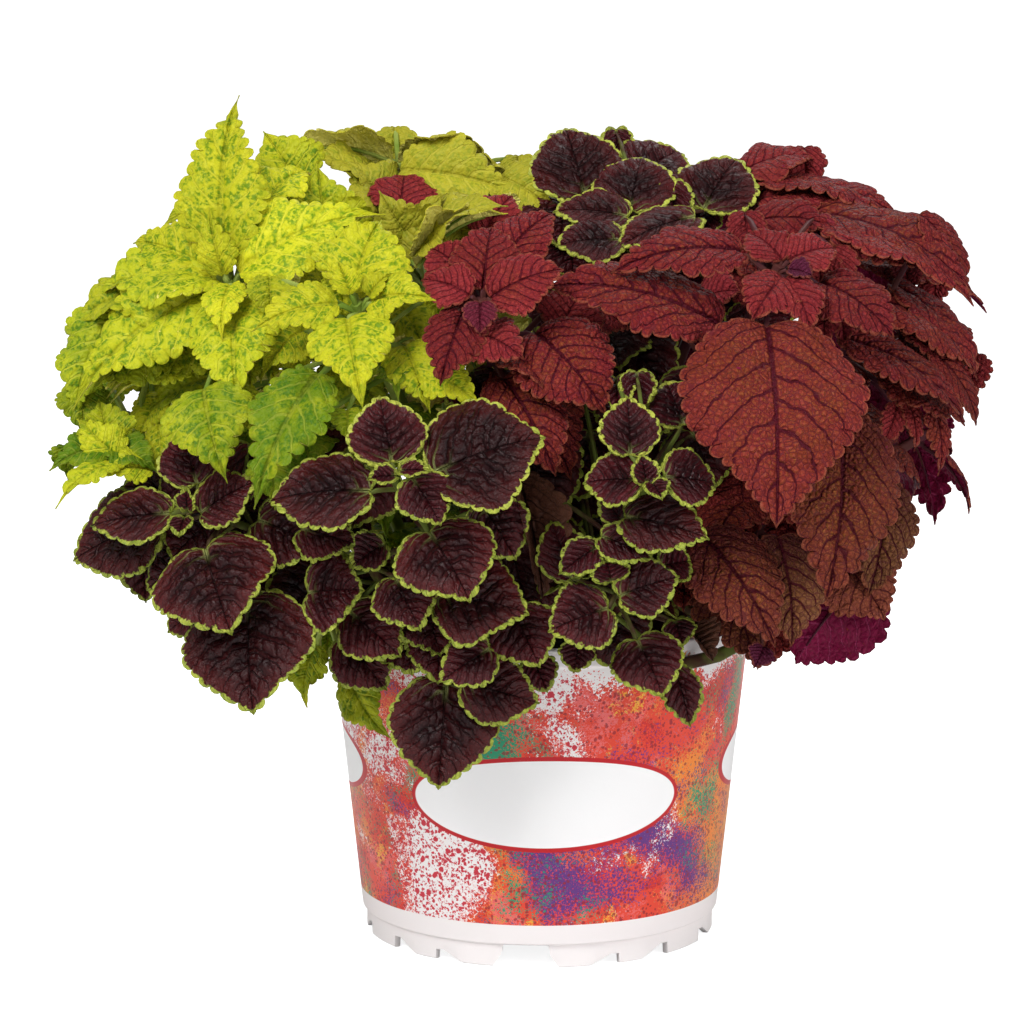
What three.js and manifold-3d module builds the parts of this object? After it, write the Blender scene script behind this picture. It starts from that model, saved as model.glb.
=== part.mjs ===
// Trio of coleus plants in a round nursery pot. Millimetres, +Z up, origin at the middle of the
// pot's base, -Y towards the front. Each leafy stem is one solid: a square stem with its leaf
// stalks and toothed leaves, standing in a plain hole in the potting mix.
import * as THREE from 'three';
import { mergeVertices } from 'three/addons/utils/BufferGeometryUtils.js';
import Module from 'manifold-3d';

const wasm = await Module();
wasm.setup();

// ---- driving dimensions: pot ----
const POT_HEIGHT = 132;
const POT_SIDES = 40;
const FOOT_RADIUS = 71.3; // outside of the foot ring
const FOOT_HEIGHT = 10;
const FOOT_WALL = 2.8;
const LEDGE_RADIUS = 73; // outside of the wall, just above the foot ring
const SHOULDER_RADIUS = 85.3; // outside of the wall, just under the rim
const RIM_RADIUS = 87.6;
const RIM_DROP = 8;
const WALL = 1.9;
const FLOOR_UNDER = 11;
const FLOOR_THICK = 2.2;
const DRAIN_RADIUS = 4.5;
const DRAIN_RING = 48;
const DRAIN_COUNT = 6;
const DRAIN_SIDES = 8;
// one third of the foot ring: [middle angle, width in degrees, height] of each cut, from the front
const FOOT_FRONT_ANGLE = -94.5;
const FOOT_CUTS = [[0, 15, 9.2], [29.5, 4, 3.5], [49, 4.5, 6.5], [71, 4.5, 6.5], [90.5, 4, 3.5]];
const FOOT_THIRDS = 3;

// ---- driving dimensions: potting mix ----
const SOIL_EDGE = 117;
const SOIL_CROWN = 121;
const STEM_FOOT = 109; // height at which every stem stands in its hole
const STEM_PLAY = 3.4; // room round a stem in its hole
const HOLE_SIDES = 5;
const GAP = 0.3; // clearance between solids that touch

// ---- driving dimensions: leaves ----
const BLADE_THICK = 0.9;
// Each kind: widest is where along the leaf it is widest, full rounds its base and point its tip,
// tail draws the tip out, notch is how deep the teeth are cut, arch bows the midrib, fold lifts the
// margins and curl drops them, stem and stalk are thicknesses.
const KINDS = {
  lime: { widest: 0.34, full: 0.75, point: 1.5, tail: 0.3, notch: 0.26, arch: 0.13, fold: 0.1,
    curl: 0.3, stem: 5, stalk: 2.2, color: 0xb9cc2a, roughness: 0.6 },
  dark: { widest: 0.38, full: 0.6, point: 2.1, tail: 0, notch: 0.16, arch: 0.07, fold: 0.12,
    curl: 0.22, stem: 3.8, stalk: 1.8, color: 0x43151c, roughness: 0.5 },
  red: { widest: 0.38, full: 0.65, point: 1.8, tail: 0.08, notch: 0.17, arch: 0.12, fold: 0.06,
    curl: 0.26, stem: 5, stalk: 2.2, color: 0x8a2b20, roughness: 0.55 },
};
// teeth on each side of a leaf of at least this length
const TEETH = [[56, 4], [36, 3], [0, 2]];
const TOOTH_FIRST = 0.17;
const TOOTH_LAST = 0.76;
const TOOTH_STEP = 0.24;
const TOOTH_PROUD = 0.5;
const TAIL_FROM = 0.55; // where along the leaf its tip starts to draw out
const TAIL_TO = 0.95;
const RIB_FROM = 0.12;
const BEND_FROM = 30; // stalks longer than this are bowed
const BOW_AT = 0.55;
const STALK_BOW = 0.12;
const STALK_BELOW = 0.04; // share of the stem's length
const STALK_LOWEST = 0.15;
const STALK_SEARCH = 40; // places tried along the stem
const STEM_STEPS = 5;

// Each leafy stem: foot is its hole in the mix, it sets out upright towards the height rise, leans
// by way of lean to its tip top, and face is the way its leaves look. A leaf of the front is
// [base x, y, z, tip x, y, z, width]; the rear stems carry crossed pairs of leaves by a rule.
const FRONT_STEMS = {
  lime_left: {
    kind: 'lime', foot: [-46, -6], rise: 190, lean: [-105, -35, 230], top: [-123, -46, 271],
    face: [-0.25, -0.75, 0.6],
    leaves: [
      [-124, -42, 277, -120, -12, 342, 37], [-128, -42, 274, -163, -14, 283, 34],
      [-127, -46, 269, -184, -52, 221, 40], [-118, -48, 275, -61, -40, 297, 38],
      [-118, -54, 264, -115, -88, 221, 36], [-132, -52, 231, -123, -70, 196, 38],
      [-121, -56, 271, -123, -76, 251, 18], [-110, -30, 300, -92, -4, 310, 24],
    ],
  },
  lime_mid: {
    kind: 'lime', foot: [-32, -22], rise: 190, lean: [-60, -60, 230], top: [-71, -78, 266],
    face: [-0.1, -0.75, 0.65],
    leaves: [
      [-78, -80, 266, -111, -84, 256, 24], [-74, -84, 261, -67, -112, 229, 34],
      [-65, -80, 267, -40, -92, 269, 24], [-72, -74, 270, -62, -52, 296, 40],
      [-93, -66, 254, -108, -74, 237, 24], [-85, -88, 240, -109, -110, 191, 38],
      [-52, -80, 250, -42, -96, 226, 26], [-44, -88, 241, -22, -99, 228, 20],
      [-108, -80, 231, -126, -84, 214, 24],
    ],
  },
  lime_side: {
    kind: 'lime', foot: [-60, -2], rise: 160, lean: [-120, -30, 185], top: [-162, -44, 206],
    face: [-0.4, -0.6, 0.6],
    leaves: [
      [-164, -66, 201, -187, -90, 188, 16], [-164, -64, 202, -182, -56, 218, 20],
      [-152, -66, 199, -175, -72, 197, 17], [-149, -36, 224, -159, -44, 206, 20],
      [-155, -30, 234, -175, -22, 224, 18],
    ],
  },
  lime_back: {
    kind: 'lime', foot: [-30, 8], rise: 220, lean: [-50, 20, 270], top: [-59, 32, 311],
    face: [0, 0.5, 0.85],
    leaves: [
      [-61, 34, 313, -109, 24, 312, 34], [-58, 30, 312, -6, 20, 300, 40],
      [-49, -42, 277, -13, -34, 297, 42], [-46, -10, 248, -70, -34, 226, 38],
      [-38, -6, 225, -62, -38, 190, 42],
    ],
  },
  lime_rim: {
    kind: 'lime', foot: [-56, -30], rise: 158, lean: [-84, -48, 165], top: [-84, -50, 135],
    face: [-0.6, -0.7, 0.3],
    leaves: [
      [-89, -44, 125, -93, -50, 101, 22], [-75, -62, 117, -59, -70, 93, 22],
    ],
  },
  dark_left: {
    kind: 'dark', foot: [-42, -44], rise: 162, lean: [-95, -75, 165], top: [-135, -87, 190],
    face: [-0.25, -0.75, 0.6],
    leaves: [
      [-133, -80, 197, -140, -74, 216, 21], [-143, -84, 185, -175, -78, 179, 25],
      [-131, -90, 186, -109, -92, 199, 26], [-129, -94, 173, -117, -124, 145, 50],
      [-149, -66, 179, -184, -60, 162, 40], [-112, -100, 154, -109, -124, 114, 54],
      [-109, -88, 183, -81, -96, 172, 32],
    ],
  },
  dark_mid: {
    kind: 'dark', foot: [-24, -44], rise: 160, lean: [-45, -100, 175], top: [-55, -126, 206],
    face: [0, -0.7, 0.7],
    leaves: [
      [-56, -122, 211, -61, -112, 235, 31], [-40, -124, 207, 2, -118, 220, 52],
      [-64, -124, 200, -103, -116, 195, 36], [-48, -130, 206, -37, -136, 189, 24],
      [-42, -126, 185, -26, -142, 161, 42], [-38, -118, 159, -4, -124, 153, 42],
    ],
  },
  dark_low: {
    kind: 'dark', foot: [-38, -60], rise: 145, lean: [-60, -90, 150], top: [-66, -104, 170],
    face: [-0.1, -0.8, 0.5],
    leaves: [
      [-89, -107, 158, -67, -112, 160, 36], [-55, -118, 166, -45, -132, 148, 27],
      [-73, -104, 150, -53, -112, 134, 28], [-59, -112, 178, -72, -112, 169, 18],
      [-92, -96, 181, -70, -104, 176, 24], [-22, -108, 192, -9, -114, 172, 28],
      [-78, -84, 160, -108, -88, 142, 34],
    ],
  },
  dark_rim: {
    kind: 'dark', foot: [-14, -62], rise: 155, lean: [-22, -104, 165], top: [-30, -103, 128],
    face: [0, -0.95, 0.3],
    leaves: [
      [-36, -104, 123, -39, -112, 82, 43], [-29, -112, 124, 0, -112, 116, 28],
      [-19, -120, 139, -38, -130, 128, 22], [-10, -112, 152, 0, -122, 132, 30],
      [-76, -94, 138, -59, -98, 118, 26], [-12, -72, 172, -2, -86, 138, 38],
    ],
  },
  dark_right: {
    kind: 'dark', foot: [12, -42], rise: 165, lean: [34, -95, 180], top: [42, -120, 206],
    face: [0.1, -0.75, 0.65],
    leaves: [
      [34, -116, 213, 33, -106, 234, 24], [38, -120, 204, 16, -116, 202, 26],
      [47, -120, 205, 67, -112, 201, 27], [32, -116, 189, 64, -124, 182, 28],
      [55, -92, 221, 48, -84, 237, 26],
    ],
  },
  dark_knot: {
    kind: 'dark', foot: [20, -62], rise: 140, lean: [28, -92, 150], top: [31, -116, 163],
    face: [0.05, -0.8, 0.55],
    leaves: [
      [12, -108, 164, 4, -100, 185, 22], [23, -118, 182, 43, -122, 174, 18],
      [46, -110, 169, 58, -104, 170, 20], [30, -124, 160, 53, -120, 167, 26],
      [26, -122, 155, 3, -128, 147, 30], [37, -112, 141, 47, -124, 121, 30],
      [52, -98, 127, 58, -104, 105, 17], [22, -76, 152, 34, -88, 122, 34],
    ],
  },
  dark_top: {
    kind: 'dark', foot: [6, 2], rise: 200, lean: [30, 0, 260], top: [42, -4, 291],
    face: [0, -0.55, 0.8],
    leaves: [
      [18, 6, 299, 10, 30, 326, 40], [36, -2, 295, 41, 20, 315, 35],
      [66, 4, 295, 80, 24, 314, 36], [35, -8, 293, 5, -6, 295, 28],
      [62, -8, 293, 30, -26, 282, 24], [32, -22, 285, 6, -24, 283, 30],
      [22, -12, 250, 54, -30, 224, 42], [10, -14, 238, -16, -34, 212, 40],
    ],
  },
  red_left: {
    kind: 'red', foot: [-6, -28], rise: 190, lean: [-18, -62, 235], top: [-23, -82, 268],
    face: [0, -0.7, 0.7],
    leaves: [
      [-27, -84, 270, -46, -76, 275, 22], [-22, -80, 272, -19, -58, 294, 28],
      [-19, -86, 269, 9, -84, 280, 29], [-29, -86, 264, -38, -106, 238, 24],
      [-27, -90, 257, -6, -98, 247, 24], [-27, -70, 274, -43, -54, 285, 26],
      [-16, -68, 280, 5, -46, 298, 24], [-2, -80, 255, 25, -98, 226, 42],
      [-14, -84, 238, 6, -104, 203, 34],
    ],
  },
  red_right: {
    kind: 'red', foot: [32, -14], rise: 190, lean: [75, -45, 235], top: [93, -60, 279],
    face: [0.1, -0.6, 0.75],
    leaves: [
      [94, -66, 275, 81, -86, 260, 24], [95, -66, 275, 104, -84, 256, 22],
      [94, -58, 281, 81, -44, 290, 21], [97, -58, 281, 116, -48, 284, 22],
      [109, -56, 272, 137, -72, 252, 32], [78, -58, 284, 27, -78, 278, 28],
      [84, -18, 292, 117, -22, 290, 24], [69, -72, 257, 1, -74, 272, 40],
      [87, -84, 258, 89, -128, 187, 72],
    ],
  },
  red_back: {
    kind: 'red', foot: [36, 14], rise: 210, lean: [70, 15, 260], top: [88, 18, 302],
    face: [0.2, -0.2, 0.95],
    leaves: [
      [89, 18, 304, 146, 4, 290, 30], [114, -20, 288, 172, -30, 260, 34],
      [120, 12, 274, 184, 34, 250, 36],
    ],
  },
  red_side: {
    kind: 'red', foot: [56, 6], rise: 170, lean: [110, -10, 220], top: [140, -16, 262],
    face: [0.5, -0.45, 0.7],
    leaves: [
      [141, -10, 266, 175, -20, 229, 26], [118, -50, 249, 167, -54, 217, 30],
      [144, -24, 253, 162, -26, 235, 22], [153, -34, 226, 158, -40, 193, 13],
    ],
  },
  red_front: {
    kind: 'red', foot: [44, -34], rise: 160, lean: [90, -60, 190], top: [112, -76, 224],
    face: [0.3, -0.75, 0.5],
    leaves: [
      [115, -84, 224, 109, -112, 156, 50], [135, -60, 194, 128, -76, 151, 30],
    ],
  },
  red_low: {
    kind: 'red', foot: [60, -30], rise: 145, lean: [76, -60, 165], top: [86, -78, 176],
    face: [0.3, -0.8, 0.4],
    leaves: [
      [62, -92, 178, 90, -112, 138, 38], [62, -62, 160, 70, -80, 124, 36],
      [92, -84, 176, 97, -96, 135, 36], [127, -60, 155, 104, -84, 127, 32],
    ],
  },
};

const REAR_STEMS = {
  lime_rear_high: {
    kind: 'lime', foot: [-34, 26], rise: 200, lean: [-75, 48, 245], top: [-94, 70, 282],
    face: [-0.35, 0.55, 0.75], turn: 60, pairs: 3,
  },
  lime_rear_mid: {
    kind: 'lime', foot: [-22, 40], rise: 180, lean: [-38, 80, 210], top: [-50, 112, 240],
    face: [-0.2, 0.75, 0.6], turn: 80, pairs: 3,
  },
  lime_flank: {
    kind: 'lime', foot: [-66, 14], rise: 150, lean: [-118, 18, 180], top: [-150, 24, 202],
    face: [-0.8, 0.2, 0.5], turn: 30, pairs: 2,
  },
  dark_rear: {
    kind: 'dark', foot: [6, 46], rise: 165, lean: [10, 98, 195], top: [18, 134, 215],
    face: [0, 0.8, 0.6], turn: 20, pairs: 3,
  },
  dark_rear_left: {
    kind: 'dark', foot: [-26, 58], rise: 140, lean: [-40, 92, 150], top: [-46, 122, 158],
    face: [-0.2, 0.85, 0.45], turn: 80, pairs: 2,
  },
  dark_rear_right: {
    kind: 'dark', foot: [28, 58], rise: 140, lean: [42, 92, 152], top: [50, 122, 160],
    face: [0.3, 0.85, 0.4], turn: 60, pairs: 2,
  },
  red_rear_high: {
    kind: 'red', foot: [34, 32], rise: 200, lean: [66, 54, 248], top: [78, 84, 280],
    face: [0.3, 0.6, 0.75], turn: 80, pairs: 3,
  },
  red_rear_mid: {
    kind: 'red', foot: [52, 30], rise: 170, lean: [110, 62, 214], top: [152, 87, 243],
    face: [0.35, 0.7, 0.6], turn: 60, pairs: 3,
  },
  red_flank: {
    kind: 'red', foot: [66, 10], rise: 156, lean: [118, 24, 175], top: [160, 32, 200],
    face: [0.85, 0.15, 0.5], turn: 70, pairs: 2,
  },
  dark_crown: {
    kind: 'dark', foot: [0, 22], rise: 210, lean: [-2, 45, 265], top: [-4, 54, 300],
    face: [0, 0.35, 0.95], turn: 0, pairs: 3,
  },
};

// Crossed pairs below a rear stem's tip: [length, width, droop in degrees, distance down the stem].
// PAIR_OUT is how far out from the stem a blade starts, as a share of its length.
const PAIR_OUT = 0.08;
const PAIRS = {
  lime: [[36, 26, 0, 3], [52, 36, 18, 14], [64, 42, 32, 34]],
  dark: [[26, 25, 0, 3], [38, 37, 15, 12], [46, 44, 30, 30]],
  red: [[34, 26, 0, 3], [52, 38, 20, 14], [64, 44, 34, 34]],
};

const ALL_STEMS = { ...FRONT_STEMS, ...REAR_STEMS };

const vec = (p) => new THREE.Vector3(p[0], p[1], p[2]);

// ---- solids ----

function solidOf(geometry) {
  const bare = geometry.index ? geometry.toNonIndexed() : geometry.clone();
  bare.deleteAttribute('normal');
  bare.deleteAttribute('uv');
  const merged = mergeVertices(bare, 1e-4);
  const mesh = new wasm.Mesh({
    numProp: 3,
    vertProperties: Float32Array.from(merged.attributes.position.array),
    triVerts: Uint32Array.from(merged.index.array),
  });
  return new wasm.Manifold(mesh);
}

function geometryOf(solid) {
  const mesh = solid.getMesh();
  const geometry = new THREE.BufferGeometry();
  geometry.setAttribute('position', new THREE.BufferAttribute(mesh.vertProperties, 3));
  geometry.setIndex(new THREE.BufferAttribute(mesh.triVerts, 1));
  geometry.computeVertexNormals();
  return geometry;
}

function lathe(profile, sides) {
  const points = profile.map(([r, z]) => new THREE.Vector2(r, z));
  return new THREE.LatheGeometry(points, sides).rotateX(Math.PI / 2);
}

// ---- pot ----

function potSolid() {
  const bore = SHOULDER_RADIUS - WALL;
  const floorTop = FLOOR_UNDER + FLOOR_THICK;
  const floorBore = LEDGE_RADIUS - WALL;
  const rimUnder = POT_HEIGHT - RIM_DROP;
  const profile = [
    [0, FLOOR_UNDER], [FOOT_RADIUS - FOOT_WALL, FLOOR_UNDER], [FOOT_RADIUS - FOOT_WALL, 0],
    [FOOT_RADIUS, 0], [FOOT_RADIUS, FOOT_HEIGHT - 0.6], [LEDGE_RADIUS, FOOT_HEIGHT],
    [SHOULDER_RADIUS, rimUnder], [RIM_RADIUS, rimUnder + 0.8], [RIM_RADIUS, POT_HEIGHT - 1.2],
    [RIM_RADIUS - 1.2, POT_HEIGHT], [bore, POT_HEIGHT], [bore, rimUnder],
    [floorBore, floorTop], [0, floorTop],
  ];
  let pot = solidOf(lathe(profile, POT_SIDES));
  for (let third = 0; third < FOOT_THIRDS; third++) {
    for (const [middle, width, height] of FOOT_CUTS) {
      const angle = THREE.MathUtils.degToRad(FOOT_FRONT_ANGLE + middle + (third * 360) / FOOT_THIRDS);
      const across = 2 * FOOT_RADIUS * Math.sin(THREE.MathUtils.degToRad(width / 2));
      const cut = new THREE.BoxGeometry(4 * FOOT_WALL, across, 2 * height);
      cut.translate(FOOT_RADIUS, 0, 0).rotateZ(angle);
      pot = pot.subtract(solidOf(cut));
    }
  }
  for (let k = 0; k <= DRAIN_COUNT; k++) {
    const drain = new THREE.CylinderGeometry(DRAIN_RADIUS, DRAIN_RADIUS, 4 * FLOOR_THICK,
      DRAIN_SIDES);
    drain.rotateX(Math.PI / 2).translate(k < DRAIN_COUNT ? DRAIN_RING : 0, 0, FLOOR_UNDER);
    pot = pot.subtract(solidOf(drain.rotateZ((2 * Math.PI * k) / DRAIN_COUNT)));
  }
  return pot;
}

// ---- potting mix ----

function soilSolid() {
  const low = FLOOR_UNDER + FLOOR_THICK;
  const wallSlope = (SHOULDER_RADIUS - LEDGE_RADIUS) / (POT_HEIGHT - RIM_DROP - low);
  const inside = (z) => LEDGE_RADIUS - WALL + wallSlope * (z - low) - GAP;
  const profile = [
    [0, low + GAP], [inside(low), low + GAP], [inside(SOIL_EDGE), SOIL_EDGE], [0, SOIL_CROWN],
  ];
  let soil = solidOf(lathe(profile, POT_SIDES / 2));
  for (const { kind, foot } of Object.values(ALL_STEMS)) {
    const radius = KINDS[kind].stem * Math.SQRT1_2 + STEM_PLAY;
    const hole = new THREE.CylinderGeometry(radius, radius, 2 * (SOIL_CROWN - STEM_FOOT),
      HOLE_SIDES);
    hole.rotateX(Math.PI / 2).translate(foot[0], foot[1], SOIL_CROWN - GAP);
    soil = soil.subtract(solidOf(hole));
  }
  return soil;
}

// ---- leaves ----

// The leaf's own axes: along from base to tip, face out of its upper side, across to its left.
function leafFrame(leaf, face) {
  const base = vec(leaf);
  const tip = vec(leaf.slice(3));
  const along = tip.clone().sub(base);
  const length = along.length();
  along.normalize();
  const normal = vec(face).addScaledVector(along, -vec(face).dot(along)).normalize();
  const across = new THREE.Vector3().crossVectors(normal, along);
  return { base, along, normal, across, length, half: leaf[6] / 2 };
}

// Half width of the blade at u along it, as a share of its greatest half width.
function outline(kind, u) {
  if (u < kind.widest) return Math.sin((Math.PI / 2) * (u / kind.widest) ** kind.full);
  const t = (u - kind.widest) / (1 - kind.widest);
  return (1 - t ** kind.point) * (1 - kind.tail * THREE.MathUtils.smoothstep(u, TAIL_FROM, TAIL_TO));
}

// A point of the blade's middle surface: u along it, side out from the midrib in millimetres.
function bladePoint(frame, kind, u, side) {
  const spread = Math.abs(side);
  const rise = 4 * kind.arch * frame.length * u * (1 - u)
    + kind.fold * spread - (kind.curl * spread * spread) / frame.half;
  return frame.base.clone().addScaledVector(frame.along, u * frame.length)
    .addScaledVector(frame.across, side).addScaledVector(frame.normal, rise);
}

// Triangles between the midrib and one margin, both listed as { u, id } from base to tip.
function zip(rib, margin) {
  const faces = [];
  let i = 0;
  let j = 0;
  while (i < rib.length - 1 || j < margin.length - 1) {
    const ribNext = i + 1 < rib.length ? rib[i + 1].u : Infinity;
    const marginNext = j + 1 < margin.length ? margin[j + 1].u : Infinity;
    if (marginNext <= ribNext) {
      faces.push([rib[i].id, margin[j].id, margin[j + 1].id]);
      j++;
    } else {
      faces.push([rib[i].id, margin[j].id, rib[i + 1].id]);
      i++;
    }
  }
  return faces.filter((face) => new Set(face).size === 3);
}

// A blade with its stalk as one closed body. root is the place on the stem's axis it grows from.
function leafSolid(frame, kind, root) {
  const upper = [];
  const lower = [];
  const place = (point, up, thick) => {
    upper.push(point.clone().addScaledVector(up, thick / 2));
    lower.push(point.clone().addScaledVector(up, -thick / 2));
    return upper.length - 1;
  };
  const onBlade = (u, side) => ({
    u, id: place(bladePoint(frame, kind, u, side), frame.normal, BLADE_THICK),
  });
  const left = [];
  const right = [];
  const faces = [];

  const stalkWay = frame.base.clone().sub(root);
  const reach = stalkWay.length();
  const stations = reach > BEND_FROM ? [0, BOW_AT] : [0];
  for (const t of stations) {
    const way = stalkWay.clone().normalize();
    const across = frame.across.clone().addScaledVector(way, -frame.across.dot(way)).normalize();
    const up = new THREE.Vector3().crossVectors(way, across);
    const middle = root.clone().addScaledVector(stalkWay, t)
      .addScaledVector(frame.normal, t > 0 ? STALK_BOW * reach : 0);
    left.push(place(middle.clone().addScaledVector(across, kind.stalk / 2), up, kind.stalk));
    right.push(place(middle.clone().addScaledVector(across, -kind.stalk / 2), up, kind.stalk));
  }
  const foot = [onBlade(0, kind.stalk / 2), onBlade(0, -kind.stalk / 2)];
  left.push(foot[0].id);
  right.push(foot[1].id);
  for (let k = 0; k + 1 < left.length; k++) {
    faces.push([left[k], right[k], right[k + 1]], [left[k], right[k + 1], left[k + 1]]);
  }

  const teeth = TEETH.find(([least]) => frame.length >= least)[1];
  const rib = [];
  for (let k = 0; k < teeth; k++) {
    rib.push(onBlade(THREE.MathUtils.lerp(RIB_FROM, 1, k / (teeth - 1)), 0));
  }
  const tip = rib[teeth - 1];
  faces.push([foot[0].id, foot[1].id, rib[0].id]);
  for (const sign of [1, -1]) {
    const margin = [foot[sign > 0 ? 0 : 1]];
    for (let k = 0; k < teeth; k++) {
      const point = THREE.MathUtils.lerp(TOOTH_FIRST, TOOTH_LAST, k / (teeth - 1));
      const hollow = point + TOOTH_STEP / teeth;
      const proud = outline(kind, point) * (1 + TOOTH_PROUD * kind.notch);
      const cut = outline(kind, hollow) * (1 - kind.notch);
      margin.push(onBlade(point, sign * frame.half * proud));
      margin.push(onBlade(hollow, sign * frame.half * cut));
    }
    margin.push(tip);
    const web = zip(rib, margin);
    faces.push(...(sign > 0 ? web.map(([a, b, c]) => [a, c, b]) : web));
    (sign > 0 ? left : right).push(...margin.slice(1, -1).map(({ id }) => id));
  }

  const count = upper.length;
  const all = [...faces, ...faces.map(([a, b, c]) => [a + count, c + count, b + count])];
  const loop = [...right, tip.id, ...left.reverse()];
  loop.forEach((a, k) => {
    const b = loop[(k + 1) % loop.length];
    all.push([a, a + count, b], [b, a + count, b + count]);
  });
  const geometry = new THREE.BufferGeometry().setFromPoints([...upper, ...lower]);
  geometry.setIndex(all.flat());
  return solidOf(geometry);
}

// The leaves of a rear stem: crossed pairs round its tip, each pair a quarter turn from the last.
function pairedLeaves({ kind, top, face, turn, pairs }) {
  const out = vec(face).normalize();
  const level = new THREE.Vector3(0, 0, 1).cross(out).normalize();
  const rising = new THREE.Vector3().crossVectors(out, level);
  const leaves = [];
  PAIRS[kind].slice(0, pairs).forEach(([length, width, droop, down], k) => {
    for (const side of [0, 180]) {
      const angle = THREE.MathUtils.degToRad(turn + 90 * k + side);
      const tilt = THREE.MathUtils.degToRad(droop);
      const way = level.clone().multiplyScalar(Math.cos(angle))
        .addScaledVector(rising, Math.sin(angle)).multiplyScalar(Math.cos(tilt))
        .addScaledVector(out, -Math.sin(tilt));
      const base = vec(top).addScaledVector(out, -down)
        .addScaledVector(way, PAIR_OUT * length + 1);
      const tip = base.clone().addScaledVector(way, length);
      leaves.push([...base.toArray(), ...tip.toArray(), width]);
    }
  });
  return leaves;
}

// ---- stems ----

function stemCurve({ foot, rise, lean, top }) {
  return new THREE.CubicBezierCurve3(new THREE.Vector3(...foot, STEM_FOOT),
    new THREE.Vector3(...foot, rise), vec(lean), vec(top));
}

function squareBar(curve, thick) {
  const half = thick / 2;
  const section = new THREE.Shape();
  section.moveTo(half, half).lineTo(-half, half).lineTo(-half, -half).lineTo(half, -half);
  section.closePath();
  return solidOf(new THREE.ExtrudeGeometry(section, {
    steps: STEM_STEPS, bevelEnabled: false, extrudePath: curve,
  }));
}

// The place on the stem that a leaf's stalk grows from: a little below the nearest point.
function stalkRoot(curve, base) {
  let nearest = 0;
  const away = (k) => curve.getPoint(k / STALK_SEARCH).distanceTo(base);
  for (let k = 1; k <= STALK_SEARCH; k++) {
    if (away(k) < away(nearest)) nearest = k;
  }
  return curve.getPoint(Math.max(STALK_LOWEST, nearest / STALK_SEARCH - STALK_BELOW));
}

function leafySolid(stem) {
  const kind = KINDS[stem.kind];
  const curve = stemCurve(stem);
  let whole = squareBar(curve, kind.stem);
  for (const leaf of stem.leaves ?? pairedLeaves(stem)) {
    const frame = leafFrame(leaf, stem.face);
    whole = whole.add(leafSolid(frame, kind, stalkRoot(curve, frame.base)));
  }
  const pieces = whole.decompose();
  return pieces.reduce((most, piece) => (piece.volume() > most.volume() ? piece : most));
}

// ---- assembly ----

function part(name, solid, color, roughness) {
  const material = new THREE.MeshStandardMaterial({ color, roughness, metalness: 0 });
  const mesh = new THREE.Mesh(geometryOf(solid), material);
  mesh.name = name;
  return mesh;
}

const group = new THREE.Group();
group.add(part('pot', potSolid(), 0xf1efec, 0.35));
group.add(part('soil', soilSolid(), 0x2b1d14, 0.95));
for (const [name, stem] of Object.entries(ALL_STEMS)) {
  const kind = KINDS[stem.kind];
  group.add(part(name, leafySolid(stem), kind.color, kind.roughness));
}

export default group;
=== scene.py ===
"""Looks of a potted coleus trio: printed pot, potting mix and three kinds of leafy stems."""
import math
import random
from dataclasses import dataclass, field

import bmesh
import bpy
import mathutils.noise
import numpy as np
from mathutils import Matrix, Vector


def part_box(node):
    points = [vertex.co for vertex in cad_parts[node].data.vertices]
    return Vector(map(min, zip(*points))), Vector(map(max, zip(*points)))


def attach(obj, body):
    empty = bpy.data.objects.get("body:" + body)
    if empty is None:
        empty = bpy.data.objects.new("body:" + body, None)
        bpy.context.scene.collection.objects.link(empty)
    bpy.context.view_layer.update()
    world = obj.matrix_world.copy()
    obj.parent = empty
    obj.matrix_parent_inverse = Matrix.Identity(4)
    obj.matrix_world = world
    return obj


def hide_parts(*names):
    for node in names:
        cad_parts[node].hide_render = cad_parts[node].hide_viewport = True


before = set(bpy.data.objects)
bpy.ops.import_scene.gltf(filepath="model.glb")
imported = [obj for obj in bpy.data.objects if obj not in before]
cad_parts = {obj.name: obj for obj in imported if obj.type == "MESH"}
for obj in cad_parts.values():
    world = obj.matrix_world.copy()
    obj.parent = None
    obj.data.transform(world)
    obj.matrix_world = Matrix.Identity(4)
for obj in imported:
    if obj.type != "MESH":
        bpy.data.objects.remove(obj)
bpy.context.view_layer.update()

bl_info = {
    "name": "Potted coleus trio",
    "version": (1, 0, 0),
    "blender": (4, 5, 0),
    "location": "View3D > Sidebar > Coleus",
    "description": "Dresses the leafy stems, potting mix and printed pot of a coleus planting",
    "category": "Object",
}

MM, METRE = 0.001, 1000.0  # a millimetre in metres, a metre in millimetres
POT_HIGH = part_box("pot")[1]
SOIL_LOW, SOIL_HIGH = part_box("soil")


# ---- the three plants, in millimetres ----


@dataclass
class LeafKind:
    """The outline, bend and relief of one plant's leaves."""

    widest: float  # where along the leaf it is widest
    full: float  # roundness of the base
    point: float  # sharpness of the tip
    tail: float  # how far the tip is drawn out, 1 for a plain one
    arch: float  # bow of the midrib
    fold: float  # lift of the margins
    curl: float  # drop of the margins
    stem: float  # thickness of the stem
    stalk: float  # thickness of a large leaf's stalk
    pitch: float  # width of a tooth on a large leaf
    tooth: float  # depth of a tooth there
    bare: float  # share of the margin, from the stalk on, that has no teeth
    toothed_to: float  # share of the margin after which the tip has none
    beads: float  # 1 where the teeth have the margin's colour
    laterals: int  # side veins on each side
    sweep: float  # how far towards the tip a side vein runs
    pillow: float  # height of the quilting between the veins
    pucker: float  # width of its swells
    ruffle: float  # height of the waves along the margin
    heart: float  # how far the base lobes reach back


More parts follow.
